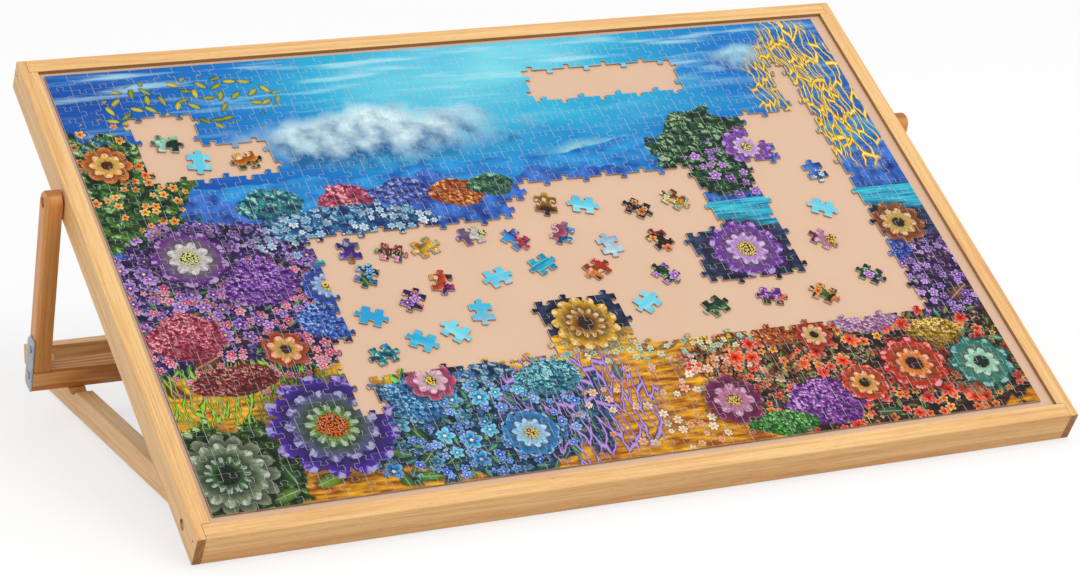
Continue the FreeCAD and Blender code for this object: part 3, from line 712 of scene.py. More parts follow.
# Each layer's values in the order of its group's inputs: a colour's code, a number, or two in millimetres
LAYERS: tuple[tuple[Motif, tuple[tuple[Entry, ...], ...]], ...] = (
    (Motif.SKY, (
        ((400, 470), (520, 300)),
    )),
    (Motif.CLOUD, (
        ((262, 392), (150, 44), "1c6ca0", "def4f6"), ((470, 350), (80, 20), "1864aa", "96d6e4"),
        ((655, 452), (50, 20), "1050a0", "aad8e8"),
    )),
    (Motif.RIDGE, (
        (352, 26, 150, (26, 12), "0660b0", "32a0dc"), (326, 44, 90, (12, 16), "043280", "4a82d4"),
        (274, 3, 200, (34, 2.6), "065494", "46c8d8"), (244, 18, 60, (8, 6), "120e2c", "40547a"),
        (140, 10, 80, (22, 5), "965000", "ffc428"),
    )),
    (Motif.CLUMP, (
        ((150, 322), (34, 20), 6, "043c5a", "5ac8be"), ((214, 318), (26, 22), 5, "6e143c", "f67896"),
        ((268, 322), (30, 18), 5, "1e3278", "8296e6"), ((318, 316), (26, 18), 5, "782800", "faa03c"),
        ((352, 322), (24, 14), 5, "143c3c", "78be78"), ((8, 350), (84, 74), 8, "042c1c", "78b442"),
        ((574, 336), (60, 58), 7, "04221e", "4c8e4e"), ((205, 282), (90, 34), 7, "082e68", "4ca0c8"),
        ((80, 214), (120, 92), 7, "160c38", "764eb0"), ((250, 60), (125, 66), 7, "082242", "4e96b6"),
        ((620, 66), (180, 84), 7, "1a0e0c", "7e4a22"), ((704, 166), (80, 60), 7, "180a2c", "844ca0"),
        ((24, 34), (70, 60), 7, "062212", "74a83c"), ((636, 205), (38, 76), 7, "0e081e", "402e54"),
    )),
    (Motif.TWIGS, (
        ((712, 400), (52, 110), (7, 34), "82560a", "fce478"),
        ((690, 392), (46, 96), (6, 26), "96640e", "f8d65a"),
        ((335, 62), (80, 66), (7, 30), "3c2c6e", "be9cdc"),
        ((510, 92), (66, 46), (5, 18), "2e120a", "964c28"),
    )),
    (Motif.LEAVES, (
        ((90, 190), (120, 80), 12, 0.6, "1a603c", "609650"),
        ((235, 50), (120, 60), 12, 0.6, "10606e", "5aaa78"),
        ((610, 66), (170, 80), 12, 0.6, "325a1e", "8c9632"),
        ((112, 452), (84, 36), 13, 0.8, "6e8c18", "ded23c"),
        ((700, 66), (56, 60), 14, 0.7, "146e5a", "6ecea0"),
        ((60, 150), (90, 40), 34, 0.85, "381428", "96423c"),
        ((36, 20), (90, 34), 30, 0.8, "145432", "96be46"),
        ((180, 34), (60, 34), 26, 0.7, "1e5a3c", "78b446"),
        ((690, 130), (70, 50), 30, 0.7, "3c1a5a", "96643c"),
        ((556, 24), (80, 26), 26, 0.75, "601e5a", "3c8232"),
        ((440, 96), (120, 30), 18, 0.35, "288c96", "c4601e"),
    )),
    (Motif.TWIGS, (
        ((60, 120), (100, 36), (4.5, 36), "0a3c18", "a0ce46"),
        ((196, 142), (26, 44), (4.5, 36), "144628", "96d65a"),
    )),
    (Motif.BLOSSOMS, (
        ((84, 190), (110, 80), 10, 5, 0.75, "d65a96", "f4aac8", "fae278"),
        ((70, 240), (96, 74), 16, 5, 0.8, "8c4abe", "cea0e6", "fae278"),
        ((205, 284), (90, 32), 10, 6, 0.75, "5abee2", "ecf4fa", "f4aa32"),
        ((225, 60), (130, 60), 11, 5, 0.7, "3c82e6", "96c8fa", "faf0be"),
        ((205, 66), (120, 56), 19, 5, 0.55, "1ea0d6", "82e0f0", "faf0be"),
        ((615, 56), (170, 70), 11, 5, 0.7, "f04a14", "fcc432", "5a1a0a"),
        ((600, 66), (175, 78), 20, 6, 0.7, "ec320c", "fc821e", "5a1a0a"),
        ((430, 122), (160, 20), 8, 5, 0.7, "faecbe", "6ecebe", "e28c1e"),
        ((430, 50), (110, 50), 10, 6, 0.35, "faf4e2", "f0965a", "e28c1e"),
        ((608, 318), (66, 46), 12, 5, 0.85, "a054c8", "d8a0ec", "fae68c"),
        ((706, 164), (76, 54), 11, 5, 0.7, "8c46c8", "e2b4f6", "fae278"),
        ((640, 215), (36, 70), 10, 6, 0.6, "ec7828", "fad25a", "781e14"),
        ((30, 372), (66, 70), 10, 5, 0.45, "f09628", "face5a", "78320a"),
    )),
    (Motif.CLUMP, (
        ((112, 236), (36, 28), 3.4, "320e5a", "ce82f0"), ((34, 184), (36, 26), 3.2, "6e1032", "ff8ca0"),
        ((158, 186), (30, 22), 3.2, "102c82", "82baff"), ((60, 132), (40, 18), 3.4, "461018", "c85a50"),
        ((196, 90), (34, 24), 3.4, "043c78", "78d2f6"), ((318, 96), (34, 20), 3.2, "004260", "82e2e8"),
        ((552, 32), (40, 26), 3.6, "3c0a5a", "ce78e2"), ((504, 14), (34, 14), 3.4, "0a4614", "6ec85a"),
        ((628, 120), (38, 20), 3.2, "783c6e", "f4d6ec"), ((540, 118), (32, 20), 3.4, "6e1e00", "fa9632"),
        ((688, 92), (30, 18), 3.4, "6e4600", "fad63c"), ((690, 196), (26, 18), 3.4, "1e2878", "7896f0"),
    )),
    (Motif.ROSETTE, (
        ((62, 270), 36, 9, 2.6, "ece8d6", "763296", "e6eca0"),
        ((122, 74), 56, 13, 3.4, "78a032", "5830aa", "ec781e"),
        ((374, 150), 31, 13, 2.4, "965c0a", "e8b42e", "543414"),
        ((556, 214), 38, 11, 2.6, "e2b4ec", "7e3caa", "fadc78"),
        ((470, 46), 27, 8, 2, "f0aac8", "96326e", "fad250"),
        ((652, 60), 34, 10, 2.6, "faa03c", "d23016", "5a140c"),
        ((716, 52), 32, 9, 2.6, "c4f0ce", "1a867a", "14463c"),
        ((24, 38), 42, 15, 3, "32642c", "929e82", "1e3c1e"),
        ((218, 108), 22, 8, 2, "fae6f0", "de6492", "fadc5a"),
        ((168, 224), 24, 12, 2.2, "bedcfa", "3860c8", "fadc5a"),
        ((110, 160), 20, 7, 1.8, "fadc78", "e66e3c", "6e2814"),
        ((282, 40), 26, 10, 2.2, "c8f0fa", "3c96d6", "fad278"),
        ((596, 46), 22, 9, 2.2, "fac85a", "e6541e", "50140a"),
        ((574, 106), 18, 8, 2, "ffe696", "dc4628", "50140a"),
        ((610, 338), 24, 11, 2.4, "f0c8f4", "9654c4", "fae68c"),
        ((24, 386), 22, 8, 2, "ffdc6e", "f08c28", "78320a"),
        ((716, 226), 26, 9, 2, "fadc78", "ba682c", "462414"),
    )),
)


def socket_value(entry: Entry, own: float | tuple) -> float | tuple:
    """Value that an input takes for an entry of the table.

    Args:
        entry: The entry.
        own: The input's own value, whose third number stays.

    Returns:
        A colour, a vector or a number.
    """
    if isinstance(entry, str):
        return tone(entry)
    return (*entry, own[2]) if isinstance(entry, tuple) else entry


def picture_effect() -> Tree:
    """Builds the whole picture: sky, hills, a lake and a garden in flower.

    Returns:
        The group, with Place in and Colour out.
    """
    trees = {
        Motif.SKY: sky_effect(), Motif.CLOUD: cloud_effect(), Motif.RIDGE: ridge_effect(),
        Motif.CLUMP: clump_effect(), Motif.BLOSSOMS: blossom_effect(), Motif.ROSETTE: rosette_effect(),
        Motif.LEAVES: leaf_effect(), Motif.TWIGS: twig_effect(),
    }
    g = Effect("garden_picture", {"Place": ORIGIN}, {"Colour": "Color"})
    colour: Input = BLACK
    place = g["Place"]
    for tree, row in ((trees[motif], row) for motif, rows in LAYERS for row in rows):
        if isinstance(colour, Socket):
            # A trace of the colour so far ties each layer to the last, so that few values are held at once.
            place = g.vector("MULTIPLY_ADD", colour, (TRACE, TRACE, TRACE), g["Place"])
        _, _, *inputs = (item for item in tree.interface.items_tree if item.in_out == "INPUT")
        values = {item.name: socket_value(entry, item.default_value) for item, entry in zip(inputs, row)}
        colour = g.effect(tree, {"Under": colour, "Place": place, **values})["Over"]
    return g.close({"Colour": colour})


@dataclass(frozen=True)
class PrintFinish:
    """Printed card under a satin varnish, paler along the cuts, partly the bared card and partly painted
    highlight, with a painted glint on cuts facing left.
    """

    width: float
    height: float
    cut: Colour
    contrast: float
    effect: Tree
    picture: Tree
    # Share of pale grey along the cuts: partly the bared card's own colour, partly painted highlight
    cut_and_sheen_cover: float = 0.3
    glint_cover: float = 0.6
    glint_facing: tuple[float, float] = (-0.1, -0.45)
    relief: float = 0.03

    def material(self) -> Material:
        """Returns the material."""
        g = Surface("printed_card", Coat_Weight=0.04, Coat_Roughness=0.25, Specular_IOR_Level=0.14)
        mapped = g.node("ShaderNodeUVMap", uv_map="print").outputs[0]
        place = g.vector("MULTIPLY", mapped, (self.width, self.height, 0.0))
        picture = g.effect(self.picture, {"Place": place})["Colour"]
        colour = g.out("ShaderNodeGamma", {"Color": picture, "Gamma": self.contrast})
        near = g.node("ShaderNodeAttribute", attribute_type="GEOMETRY", attribute_name="cut").outputs["Fac"]
        mottle = g.effect(self.effect, {"Place": place, "Speck": 0.45, "Cloud": 40.0})
        # The cut rims are mixed towards pale grey, partly the bared card's own colour and partly painted
        # highlight on the bevels.
        colour = g.mix(g.mul(near, self.cut_and_sheen_cover), colour, self.cut)
        # Painted highlight: cut walls that face left are mixed towards white, as if they caught the lamp.
        leftward, _, _ = g.split(g.node("ShaderNodeTexCoord").outputs["Normal"])
        glint = g.mul(near, g.rise(leftward, *self.glint_facing))
        colour = g.mix(g.mul(glint, self.glint_cover), colour, WHITE)
        rough = g.madd(mottle["Clouds"], 0.14, 0.34)
        return g.finish(colour, rough, mottle["Specks"], self.relief)


# Where the tray and its frames lie

@dataclass(frozen=True)
class TrayPlace:
    """Where the tray's own frame lies: millimetres from its lower left corner, its face at z = 0."""

    tilt: float = math.radians(29.8)
    width: float = 796.0
    depth: float = 30.0
    pivot_rise: float = 385.5
    pivot_drop: float = 15.0

    def put(self, points: np.ndarray) -> np.ndarray:
        """Moves points to the row frame.

        Args:
            points: One row of x, y and z for each, in millimetres.

        Returns:
            The points in metres.
        """
        cosine, sine = math.cos(self.tilt), math.sin(self.tilt)
        pivot = next(j for j in frame["joints"] if j["name"] == "prop_fold")["pos_m"]
        lift = self.depth - self.pivot_drop
        start = pivot[1] * PER_METRE - (self.pivot_rise * cosine - lift * sine)
        z = points[:, 2] + self.depth
        moved = np.empty_like(points)
        moved[:, 0] = points[:, 0] - self.width / 2
        moved[:, 1] = points[:, 1] * cosine - z * sine + start
        moved[:, 2] = points[:, 1] * sine + z * cosine
        return moved / PER_METRE


def dress(node: str, material: Material, bevel: float = 0.0) -> None:
    """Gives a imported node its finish, and eases its edges.

    Args:
        node: The node.
        material: Its finish.
        bevel: Width of the eased edge in millimetres, or 0 for none.
    """
    obj = frame["nodes"][node]
    obj.data.materials.clear()
    obj.data.materials.append(material)
    if bevel:
        obj.modifiers.new("closed_edges", "WELD").merge_threshold = WELD_DISTANCE
        flat = obj.modifiers.new("flat_faces", "DECIMATE")
        flat.decimate_type = "DISSOLVE"
        flat.angle_limit = FLAT_ANGLE
        eased = obj.modifiers.new("eased_edges", "BEVEL")
        eased.width = bevel / PER_METRE
        eased.segments = EDGE_SEGMENTS
        eased.limit_method = "ANGLE"
        eased.angle_limit = EDGE_ANGLE
        eased.use_clamp_overlap = False
        obj.modifiers.new("even_shading", "WEIGHTED_NORMAL").keep_sharp = False
    log.info("%s: %s", node, material.name)


# Screws

@dataclass(frozen=True)
class ScrewHeads:
    """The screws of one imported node, rebuilt with domed heads and cross drives."""

    node: str
    body: str
    radius: float
    height: float
    shank: float
    turn: float
    rings: int = 22
    spokes: int = 96
    apart: float = 0.012
    level: float = 2e-5
    turn_step: float = 1.1
    dome: tuple[float, float] = (0.42, 0.58)
    dome_power: float = 2.4
    slot: tuple[float, float] = (0.15, 0.62)
    slot_slopes: tuple[float, float] = (0.05, 0.1)
    slot_depth: float = 0.55

    def middles(self) -> tuple[list[tuple[float, float]], float, float]:
        """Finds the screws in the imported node.

        Returns:
            Their middles as y and z, and the x of the head's top and of the shank's end, in metres.
        """
        points = np.array([v.co for v in frame["nodes"][self.node].data.vertices])
        xs = points[:, 0]
        top, end = (xs.min(), xs.max()) if xs.mean() < 0 else (xs.max(), xs.min())
        rim_points = points[abs(xs - top) < self.level][:, 1:]
        groups: list[list[np.ndarray]] = []
        for point in rim_points:
            group = next((g for g in groups if np.linalg.norm(g[0] - point) < self.apart), None)
            if group is None:
                groups.append(group := [])
            group.append(point)
        middles = []
        for group in groups:
            block = np.array(group)
            middle = (block.min(0) + block.max(0)) / 2
            middles.append((float(middle[0]), float(middle[1])))
        return middles, float(top), float(end)

    def profile(self, distance: float, angle: float) -> float:
        """Height of the head's surface.

        Args:
            distance: Distance from the middle, as a share of the radius.
            angle: Direction in radians.

        Returns:
            The height in millimetres.
        """
        edge, bulge = self.dome
        dome = self.height * (edge + bulge * math.sqrt(max(0.0, 1 - distance ** self.dome_power)))
        wide, long = sorted(abs(distance * share) for share in (math.cos(angle), math.sin(angle)))
        inside = 1.0
        for size, reach, slope in zip(self.slot, (wide, long), self.slot_slopes):
            inside *= min(1.0, max(0.0, (size - reach) / slope))
        return dome - inside * self.height * self.slot_depth * (1 - long)

    def ring(self, mesh: bmesh.types.BMesh, place: tuple[float, float, float], xs: list[float],
             radius: float) -> list[bmesh.types.BMVert]:
        """Adds a ring of points about a screw's axis.

        Args:
            mesh: The mesh.
            place: The screw's middle as y and z, and its turn.
            xs: Each point's place along the axis.
            radius: The ring's radius in millimetres.

        Returns:
            The points.
        """
        y, z, turn = place
        reach = radius / PER_METRE
        angles = [TURN * spoke / self.spokes + turn for spoke in range(self.spokes)]
        return [
            mesh.verts.new((x, y + reach * math.cos(angle), z + reach * math.sin(angle)))
            for x, angle in zip(xs, angles)
        ]

    def build(self, material: Material) -> bpy.types.Object:
        """Makes the screws.

        Args:
            material: Their finish.

        Returns:
            One object with all the node's screws.
        """
        middles, top, end = self.middles()
        out = -1.0 if top < end else 1.0
        seat = top - out * self.height / PER_METRE
        mesh = bmesh.new()
        for number, (y, z) in enumerate(middles):
            place = (y, z, self.turn + self.turn_step * number)
            rows = []
            for share in (ring / self.rings for ring in range(1, self.rings + 1)):
                heights = [self.profile(share, TURN * spoke / self.spokes) for spoke in range(self.spokes)]
                xs = [seat + out * height / PER_METRE for height in heights]
                rows.append(self.ring(mesh, place, xs, share * self.radius))
            for radius, x in ((self.radius, seat), (self.shank, seat), (self.shank, end)):
                rows.append(self.ring(mesh, place, [x] * self.spokes, radius))
            crown = mesh.verts.new((seat + out * self.profile(0.0, 0.0) / PER_METRE, y, z))
            for spoke in range(self.spokes):
                after = (spoke + 1) % self.spokes
                mesh.faces.new((crown, rows[0][spoke], rows[0][after]))
                for inner, outer in zip(rows, rows[1:]):
                    mesh.faces.new((inner[spoke], outer[spoke], outer[after], inner[after]))
            mesh.faces.new(rows[-1])
        bmesh.ops.recalc_face_normals(mesh, faces=mesh.faces)
        data = bpy.data.meshes.new(self.node + "_shown")
        mesh.to_mesh(data)
        mesh.free()
        data.materials.append(material)
        obj = bpy.data.objects.new(self.node + "_shown", data)
        bpy.context.scene.collection.objects.link(obj)
        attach(obj, self.body)
        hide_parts(self.node)
        log.info("%s: %d", obj.name, len(middles))
        return obj


def pivot_screw(node: str, body: str, turn: float) -> ScrewHeads:
    """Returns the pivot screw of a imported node, on its body and with its drive turned."""
    return ScrewHeads(node, body, radius=4.2, height=3.0, shank=2.5, turn=turn)


# Sub-assemblies

@dataclass
class Finishes:
    """Every finish of the board, made once."""

    wood: Tree = field(default_factory=wood_effect)
    mottle: Tree = field(default_factory=mottle_effect)

    def __post_init__(self) -> None:
        """Makes the finishes from the shared effects."""
        self.rail = WoodFinish(tone("f4c684"), tone("d4904c"), tone("804c24"), 6.0, self.wood)
        self.leg = WoodFinish(tone("e49e54"), tone("be7230"), tone("a06230"), 4.6, self.wood)
        # The crossbar's wood is lighter than the legs': partly its own tone, partly painted light that lifts
        # its shaded front face.
        self.bar = WoodFinish(tone("fcc278"), tone("ce823c"), tone("844a1e"), 4.6, self.wood)
        self.arm = WoodFinish(tone("f6c686"), tone("d89a56"), tone("8c5428"), 5.2, self.wood)
        self.board = PlainFinish(
            tone("96683e"), tone("704a2a"), speck=1.1, cloud=40.0, contrast=1.2, roughness=0.5, tooth=0.05,
            effect=self.mottle,
        ).material("panel_board")
        self.facing = PlainFinish(
            tone("e2bea2"), tone("d8b294"), speck=0.6, cloud=70.0, contrast=0.8, roughness=0.5, tooth=0.02,
            effect=self.mottle,
        ).material("facing_sheet")
        self.card = PlainFinish(
            tone("c4ac92"), tone("886c52"), speck=0.4, cloud=12.0, contrast=1.6, roughness=0.7, tooth=0.08,
            effect=self.mottle,
        ).material("card_edge")
        self.galvanised = SteelFinish(
            Plating.GALVANISED, tone("bac0c8"), tone("848c98"), 2.4, self.mottle
        ).material()
        self.bright = SteelFinish(
            Plating.BRIGHT, tone("cececc"), tone("969696"), 1.2, self.mottle
        ).material()
        self.dull = SteelFinish(
            Plating.DULL, tone("60544a"), tone("322a24"), 1.2, self.mottle
        ).material()


@dataclass
class Tray:
    """The rails, the panel and its facing."""

    finishes: Finishes
    place: TrayPlace = field(default_factory=TrayPlace)
    bevel: float = 0.7

    def dress(self) -> None:
        """Gives each of the tray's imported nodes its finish."""
        rails = {
            "left_side_rail": (False, 1.3, (1.0, 0.0)), "right_side_rail": (False, 4.7, (-1.0, 0.0)),
            "bottom_rail": (True, 2.9, (0.0, 1.0)), "top_rail": (True, 6.1, (0.0, -1.0)),
        }
        for node, (crosswise, seed, inner) in rails.items():
            run = GrainRun(self.place.tilt, crosswise, seed)
            dress(node, self.finishes.rail.material(node, run, inner), self.bevel)
        dress("back_panel", self.finishes.board)
        dress("facing_sheet", self.finishes.facing)
        for side in ("left", "right"):
            dress(side + "_corner_brads", self.finishes.dull)

    def build(self) -> None:
        """Makes the pivot screws of the legs."""
        for side, turn in (("left", 0.4), ("right", 0.9)):
            pivot_screw(side + "_leg_screw", "tray", turn).build(self.finishes.bright)


@dataclass
class PropFrame:
    """The legs, their crossbar and plates."""

    finishes: Finishes
    lean: float = math.radians(17.5)
    bevel: float = 0.8

    def dress(self) -> None:
        """Gives each of the prop frame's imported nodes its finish."""
        upright = self.lean + math.pi / 2
        wood, bar = self.finishes.leg, self.finishes.bar
        for side, seed in (("left", 3.4), ("right", 7.7)):
            dress(side + "_leg", wood.material(side + "_leg", GrainRun(upright, False, seed)), self.bevel)
            dress(side + "_foot_plate", self.finishes.galvanised, 0.25)
        # The crossbar takes the lighter bar wood, whose extra brightness is partly painted light on its
        # shaded faces.
        dress("crossbar", bar.material("crossbar", GrainRun(self.lean, True, 5.2, 1.0)), self.bevel)

    def build(self) -> None:
        """Makes the plates' pan head screws."""
        for side, turn in (("left", 0.2), ("right", 1.3)):
            node = side + "_foot_plate_screws"
            screws = ScrewHeads(node, "prop_frame", radius=3.4, height=2.0, shank=1.75, turn=turn)
            screws.build(self.finishes.bright)


@dataclass
class BaseFrame:
    """The notched arms and the rear bar."""

    finishes: Finishes
    slope: float = math.radians(-1.76)
    bevel: float = 0.8

    def dress(self) -> None:
        """Gives each of the base frame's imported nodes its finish."""
        wood = self.finishes.arm
        for side, seed in (("left", 8.6), ("right", 2.2)):
            run = GrainRun(self.slope, False, seed, 0.3)
            dress(side + "_arm", wood.material(side + "_arm", run), self.bevel)
        dress("rear_bar", wood.material("rear_bar", GrainRun(self.slope, True, 9.4, 1.0)), self.bevel)

    def build(self) -> None:
        """Makes the pivot screws of the arms."""
        for side, turn in (("left", 0.7), ("right", 0.1)):
            pivot_screw(side + "_arm_screw", "base_frame", turn).build(self.finishes.bright)


# Puzzle

@dataclass(frozen=True)
class LoosePiece:
    """A piece that lies loose: its place and turn on the board, and its own cell in the picture."""

    column: float
    row: float
    turn: float
    source: tuple[int, int]


LOOSE_PIECES = tuple(LoosePiece(*row) for row in (
    (10.6, 11.95, 85, (4, 20)), (10.9, 13.45, 65, (10, 23)), (12.5, 12.3, 160, (3, 17)),
    (14.2, 12.2, 20, (21, 18)), (16.6, 11.8, 10, (2, 11)), (18.6, 12.3, 125, (12, 8)),
    (21.0, 12.2, 60, (11, 20)), (20.9, 10.4, 75, (20, 17)), (22.7, 10.65, 162, (22, 2)),
    (25.3, 11.2, 140, (34, 14)), (27.4, 10.9, 130, (24, 19)), (14.2, 14.3, 80, (31, 23)),
    (12.5, 15.1, 60, (5, 15)), (16.9, 14.35, 15, (18, 3)), (19.3, 13.9, 25, (16, 12)),
    (23.0, 13.2, 95, (12, 5)), (25.6, 13.2, 110, (33, 20)), (21.8, 14.5, 30, (35, 21)),
    (10.3, 15.75, 155, (26, 5)), (15.4, 16.2, 85, (20, 4)), (12.1, 17.4, 145, (24, 3)),
    (13.8, 17.1, 130, (21, 0)), (10.1, 17.9, 15, (8, 8)), (23.4, 16.7, 35, (19, 2)),
    (25.0, 15.2, 125, (30, 9)), (26.6, 17.4, 25, (31, 6)), (29.6, 17.2, 168, (28, 22)),
    (32.3, 17.4, 140, (2, 6)), (35.2, 16.6, 140, (29, 8)), (35.4, 10.0, 95, (15, 10)),
    (34.7, 12.3, 150, (23, 1)), (33.8, 14.2, 135, (25, 22)), (4.4, 4.7, 170, (38, 22)),
    (5.5, 5.95, 80, (18, 1)), (7.7, 6.1, 5, (1, 6)),
))
THIRDS = {
    "puzzle_left_third": range(12), "puzzle_middle_third": range(12, 26),
    "puzzle_right_third": range(26, 40),
}
LOOSE = "puzzle_loose"


class MeshBatch:
    """Gathers many closed pieces into one mesh, with the picture's map and the cut's attribute."""

    def __init__(self) -> None:
        """Starts empty."""
        self.points: list[np.ndarray] = []
        self.maps: list[np.ndarray] = []
        self.cuts: list[np.ndarray] = []
        self.faces: list[tuple[int, ...]] = []
        self.kinds: list[int] = []
        self.count = 0

    def add(self, rings: list[np.ndarray], picture: list[np.ndarray]) -> None:
        """Adds a piece.

        Args:
            rings: Its rings of points, from the foot up to the face.
            picture: The same rings' places in the picture.
        """
        size, start = len(rings[0]), self.count
        for index, (ring, flat) in enumerate(zip(rings, picture)):
            self.points.append(ring)
            self.maps.append(flat)
            self.cuts.append(np.full(size, 0.0 if index == len(rings) - 1 else 1.0))
        self.faces.append(tuple(start + k for k in reversed(range(size))))
        self.kinds.append(CARD_SLOT)
        for step in range(len(rings) - 1):
            low = start + step * size
            for k in range(size):
                after = (k + 1) % size
                self.faces.append((low + k, low + after, low + size + after, low + size + k))
                self.kinds.append(CARD_SLOT if step == 0 else PRINT_SLOT)
        top = start + (len(rings) - 1) * size
        self.faces.append(tuple(top + k for k in range(size)))
        self.kinds.append(PRINT_SLOT)
        self.count += size * len(rings)

    def object(self, name: str, materials: tuple[Material, ...]) -> bpy.types.Object:
        """Makes the object.

        Args:
            name: Its name.
            materials: The print and the card.

        Returns:
            The object, linked to the scene.
        """
        data = bpy.data.meshes.new(name)
        data.from_pydata(np.concatenate(self.points).tolist(), [], self.faces)
        data.polygons.foreach_set("material_index", np.array(self.kinds, dtype=np.int32))
        corners = np.empty(len(data.loops), dtype=np.int32)
        data.loops.foreach_get("vertex_index", corners)
        flat = np.concatenate(self.maps)[corners].astype(np.float32)
        data.uv_layers.new(name="print").data.foreach_set("uv", flat.ravel())
        cut = data.attributes.new("cut", "FLOAT", "POINT")
        cut.data.foreach_set("value", np.concatenate(self.cuts).astype(np.float32))
        for material in materials:
            data.materials.append(material)
        data.update()
        obj = bpy.data.objects.new(name, data)
        bpy.context.scene.collection.objects.link(obj)
        return obj


@dataclass
class Puzzle:
    """The puzzle under way: its assembled pieces, cut one by one, and the loose ones."""

    finishes: Finishes
    place: TrayPlace = field(default_factory=TrayPlace)
    columns: int = 40
    rows: int = 25
    cell_width: float = 18.75
    cell_height: float = 20.0
    left: float = 19.2
    bottom: float = 22.3
    floor: float = -3.8
    thickness: float = 2.0
    gap: float = 0.05
    rim: float = 0.28
    roll: float = 0.24
    bend: tuple[float, float] = (0.35, 0.3)
    sharpest: float = 0.6
    seed: int = 4
    edge_seeds: tuple[int, int, int] = (991, 37, 7)
    knob_shift: float = 0.45
    loose_shift: float = 0.5
    unevenness: float = 0.0016
    lift: float = 0.05
    half_knob: tuple[tuple[float, float], ...] = (
        (-3.5, 0.0), (-2.5, 0.25), (-2.05, 1.0), (-2.15, 1.9),
        (-2.85, 2.8), (-3.12, 3.75), (-2.6, 4.7), (-1.35, 5.15),
    )
    open_blocks: tuple[tuple[int, int, int, int], ...] = (
        (3, 4, 3, 5), (5, 6, 3, 8), (2, 3, 23, 30), (9, 9, 20, 28), (10, 10, 19, 28), (11, 12, 9, 28),
        (13, 15, 9, 26), (16, 18, 9, 17), (16, 18, 22, 31), (17, 20, 8, 8), (3, 5, 36, 36),
        (6, 7, 33, 36), (8, 8, 34, 36), (9, 18, 32, 36),
    )

    def open_cells(self) -> set[tuple[int, int]]:
        """Returns the cells, as column and row from the top left, that hold no assembled piece."""
        return {
            (column, row)
            for first_row, last_row, first, last in self.open_blocks
            for row in range(first_row, last_row + 1)
            for column in range(first, last + 1)
        }

    def knob(self, side: float, shift: float) -> np.ndarray:
        """Outline of one knob along a run.

        Args:
            side: 1 for a knob to the run's left, -1 to its right.
            shift: How far its middle lies from the run's.

        Returns:
            Points as distance along the run from its middle, and distance to its left.
        """
        points = np.array(self.half_knob + tuple((-x, y) for x, y in reversed(self.half_knob)))
        return points * (1.0, side) + (shift, 0.0)

    def run(self, start: np.ndarray, end: np.ndarray, side: float, shift: float) -> np.ndarray:
        """One edge of a piece, with its knob.

        Args:
            start: Where it starts.
            end: Where it ends.
            side: 1, -1 or 0 for a straight edge.
            shift: The knob's shift along it.

        Returns:
            Its points without the last.
        """
        if not side:
            return start[None, :]
        along = (end - start) / np.linalg.norm(end - start)
        left = np.array((-along[1], along[0]))
        knob = self.knob(side, shift)
        return np.vstack([start, (start + end) / 2 + knob[:, :1] * along + knob[:, 1:] * left])

    def corner(self, column: int, row: int) -> np.ndarray:
        """Returns a corner of the grid, in the picture's millimetres."""
        return np.array((column * self.cell_width, (self.rows - row) * self.cell_height))

    def edge(self, column: int, row: int, across: bool) -> tuple[float, float]:
        """The knob on a cell's left or top edge.

        Args:
            column: The cell's column.
            row: The cell's row.
            across: True for the left edge, False for the top one.

        Returns:
            Its side, 1 towards the cell, and its shift along the edge.
        """
        if (across and column in (0, self.columns)) or (not across and row in (0, self.rows)):
            return 0.0, 0.0
        seed = sum(place * step for place, step in zip((column, row, across), self.edge_seeds))
        shift = random.Random(seed).uniform(-self.knob_shift, self.knob_shift)
        return (1.0 if ((column + row) % 2 == 1) == across else -1.0), shift

    def outline(self, column: int, row: int) -> np.ndarray:
        """Outline of a cell's piece.

        Args:
            column: The cell's column.
            row: The cell's row.

        Returns:
            Its points, anticlockwise, in the picture's millimetres.
        """
        a, b = self.corner(column, row + 1), self.corner(column + 1, row + 1)
        c, d = self.corner(column + 1, row), self.corner(column, row)
        below, below_shift = self.edge(column, row + 1, False)
        right, right_shift = self.edge(column + 1, row, True)
        above, above_shift = self.edge(column, row, False)
        left, left_shift = self.edge(column, row, True)
        return np.vstack([
            self.run(a, b, -below, below_shift), self.run(b, c, -right, right_shift),
            self.run(c, d, above, -above_shift), self.run(d, a, left, -left_shift),
        ])

    def inset(self, outline: np.ndarray, depth: float) -> np.ndarray:
        """Moves an outline inwards.

        Args:
            outline: Anticlockwise points.
            depth: How far.

        Returns:
            The moved points.
        """
        ahead = np.roll(outline, -1, axis=0) - outline
        ahead /= np.linalg.norm(ahead, axis=1)[:, None]
        after = np.stack([-ahead[:, 1], ahead[:, 0]], axis=1)
        before = np.roll(after, 1, axis=0)
        share = np.maximum(1 + (before * after).sum(1), self.sharpest)[:, None]
        return outline + (before + after) / share * depth

    def rings(self, outline: np.ndarray) -> list[tuple[np.ndarray, float]]:
        """Shape of a piece from its foot up to its face.

        Args:
            outline: Its outline.

        Returns:
            Rings of points, each with its height above the facing.
        """
        inwards, down = self.bend
        wall, face = self.inset(outline, self.gap), self.inset(outline, self.gap + self.rim)
        middle = self.inset(outline, self.gap + self.rim * inwards)
        return [
            (wall, 0.0), (wall, self.thickness - self.roll),
            (middle, self.thickness - self.roll * down), (face, self.thickness),
        ]

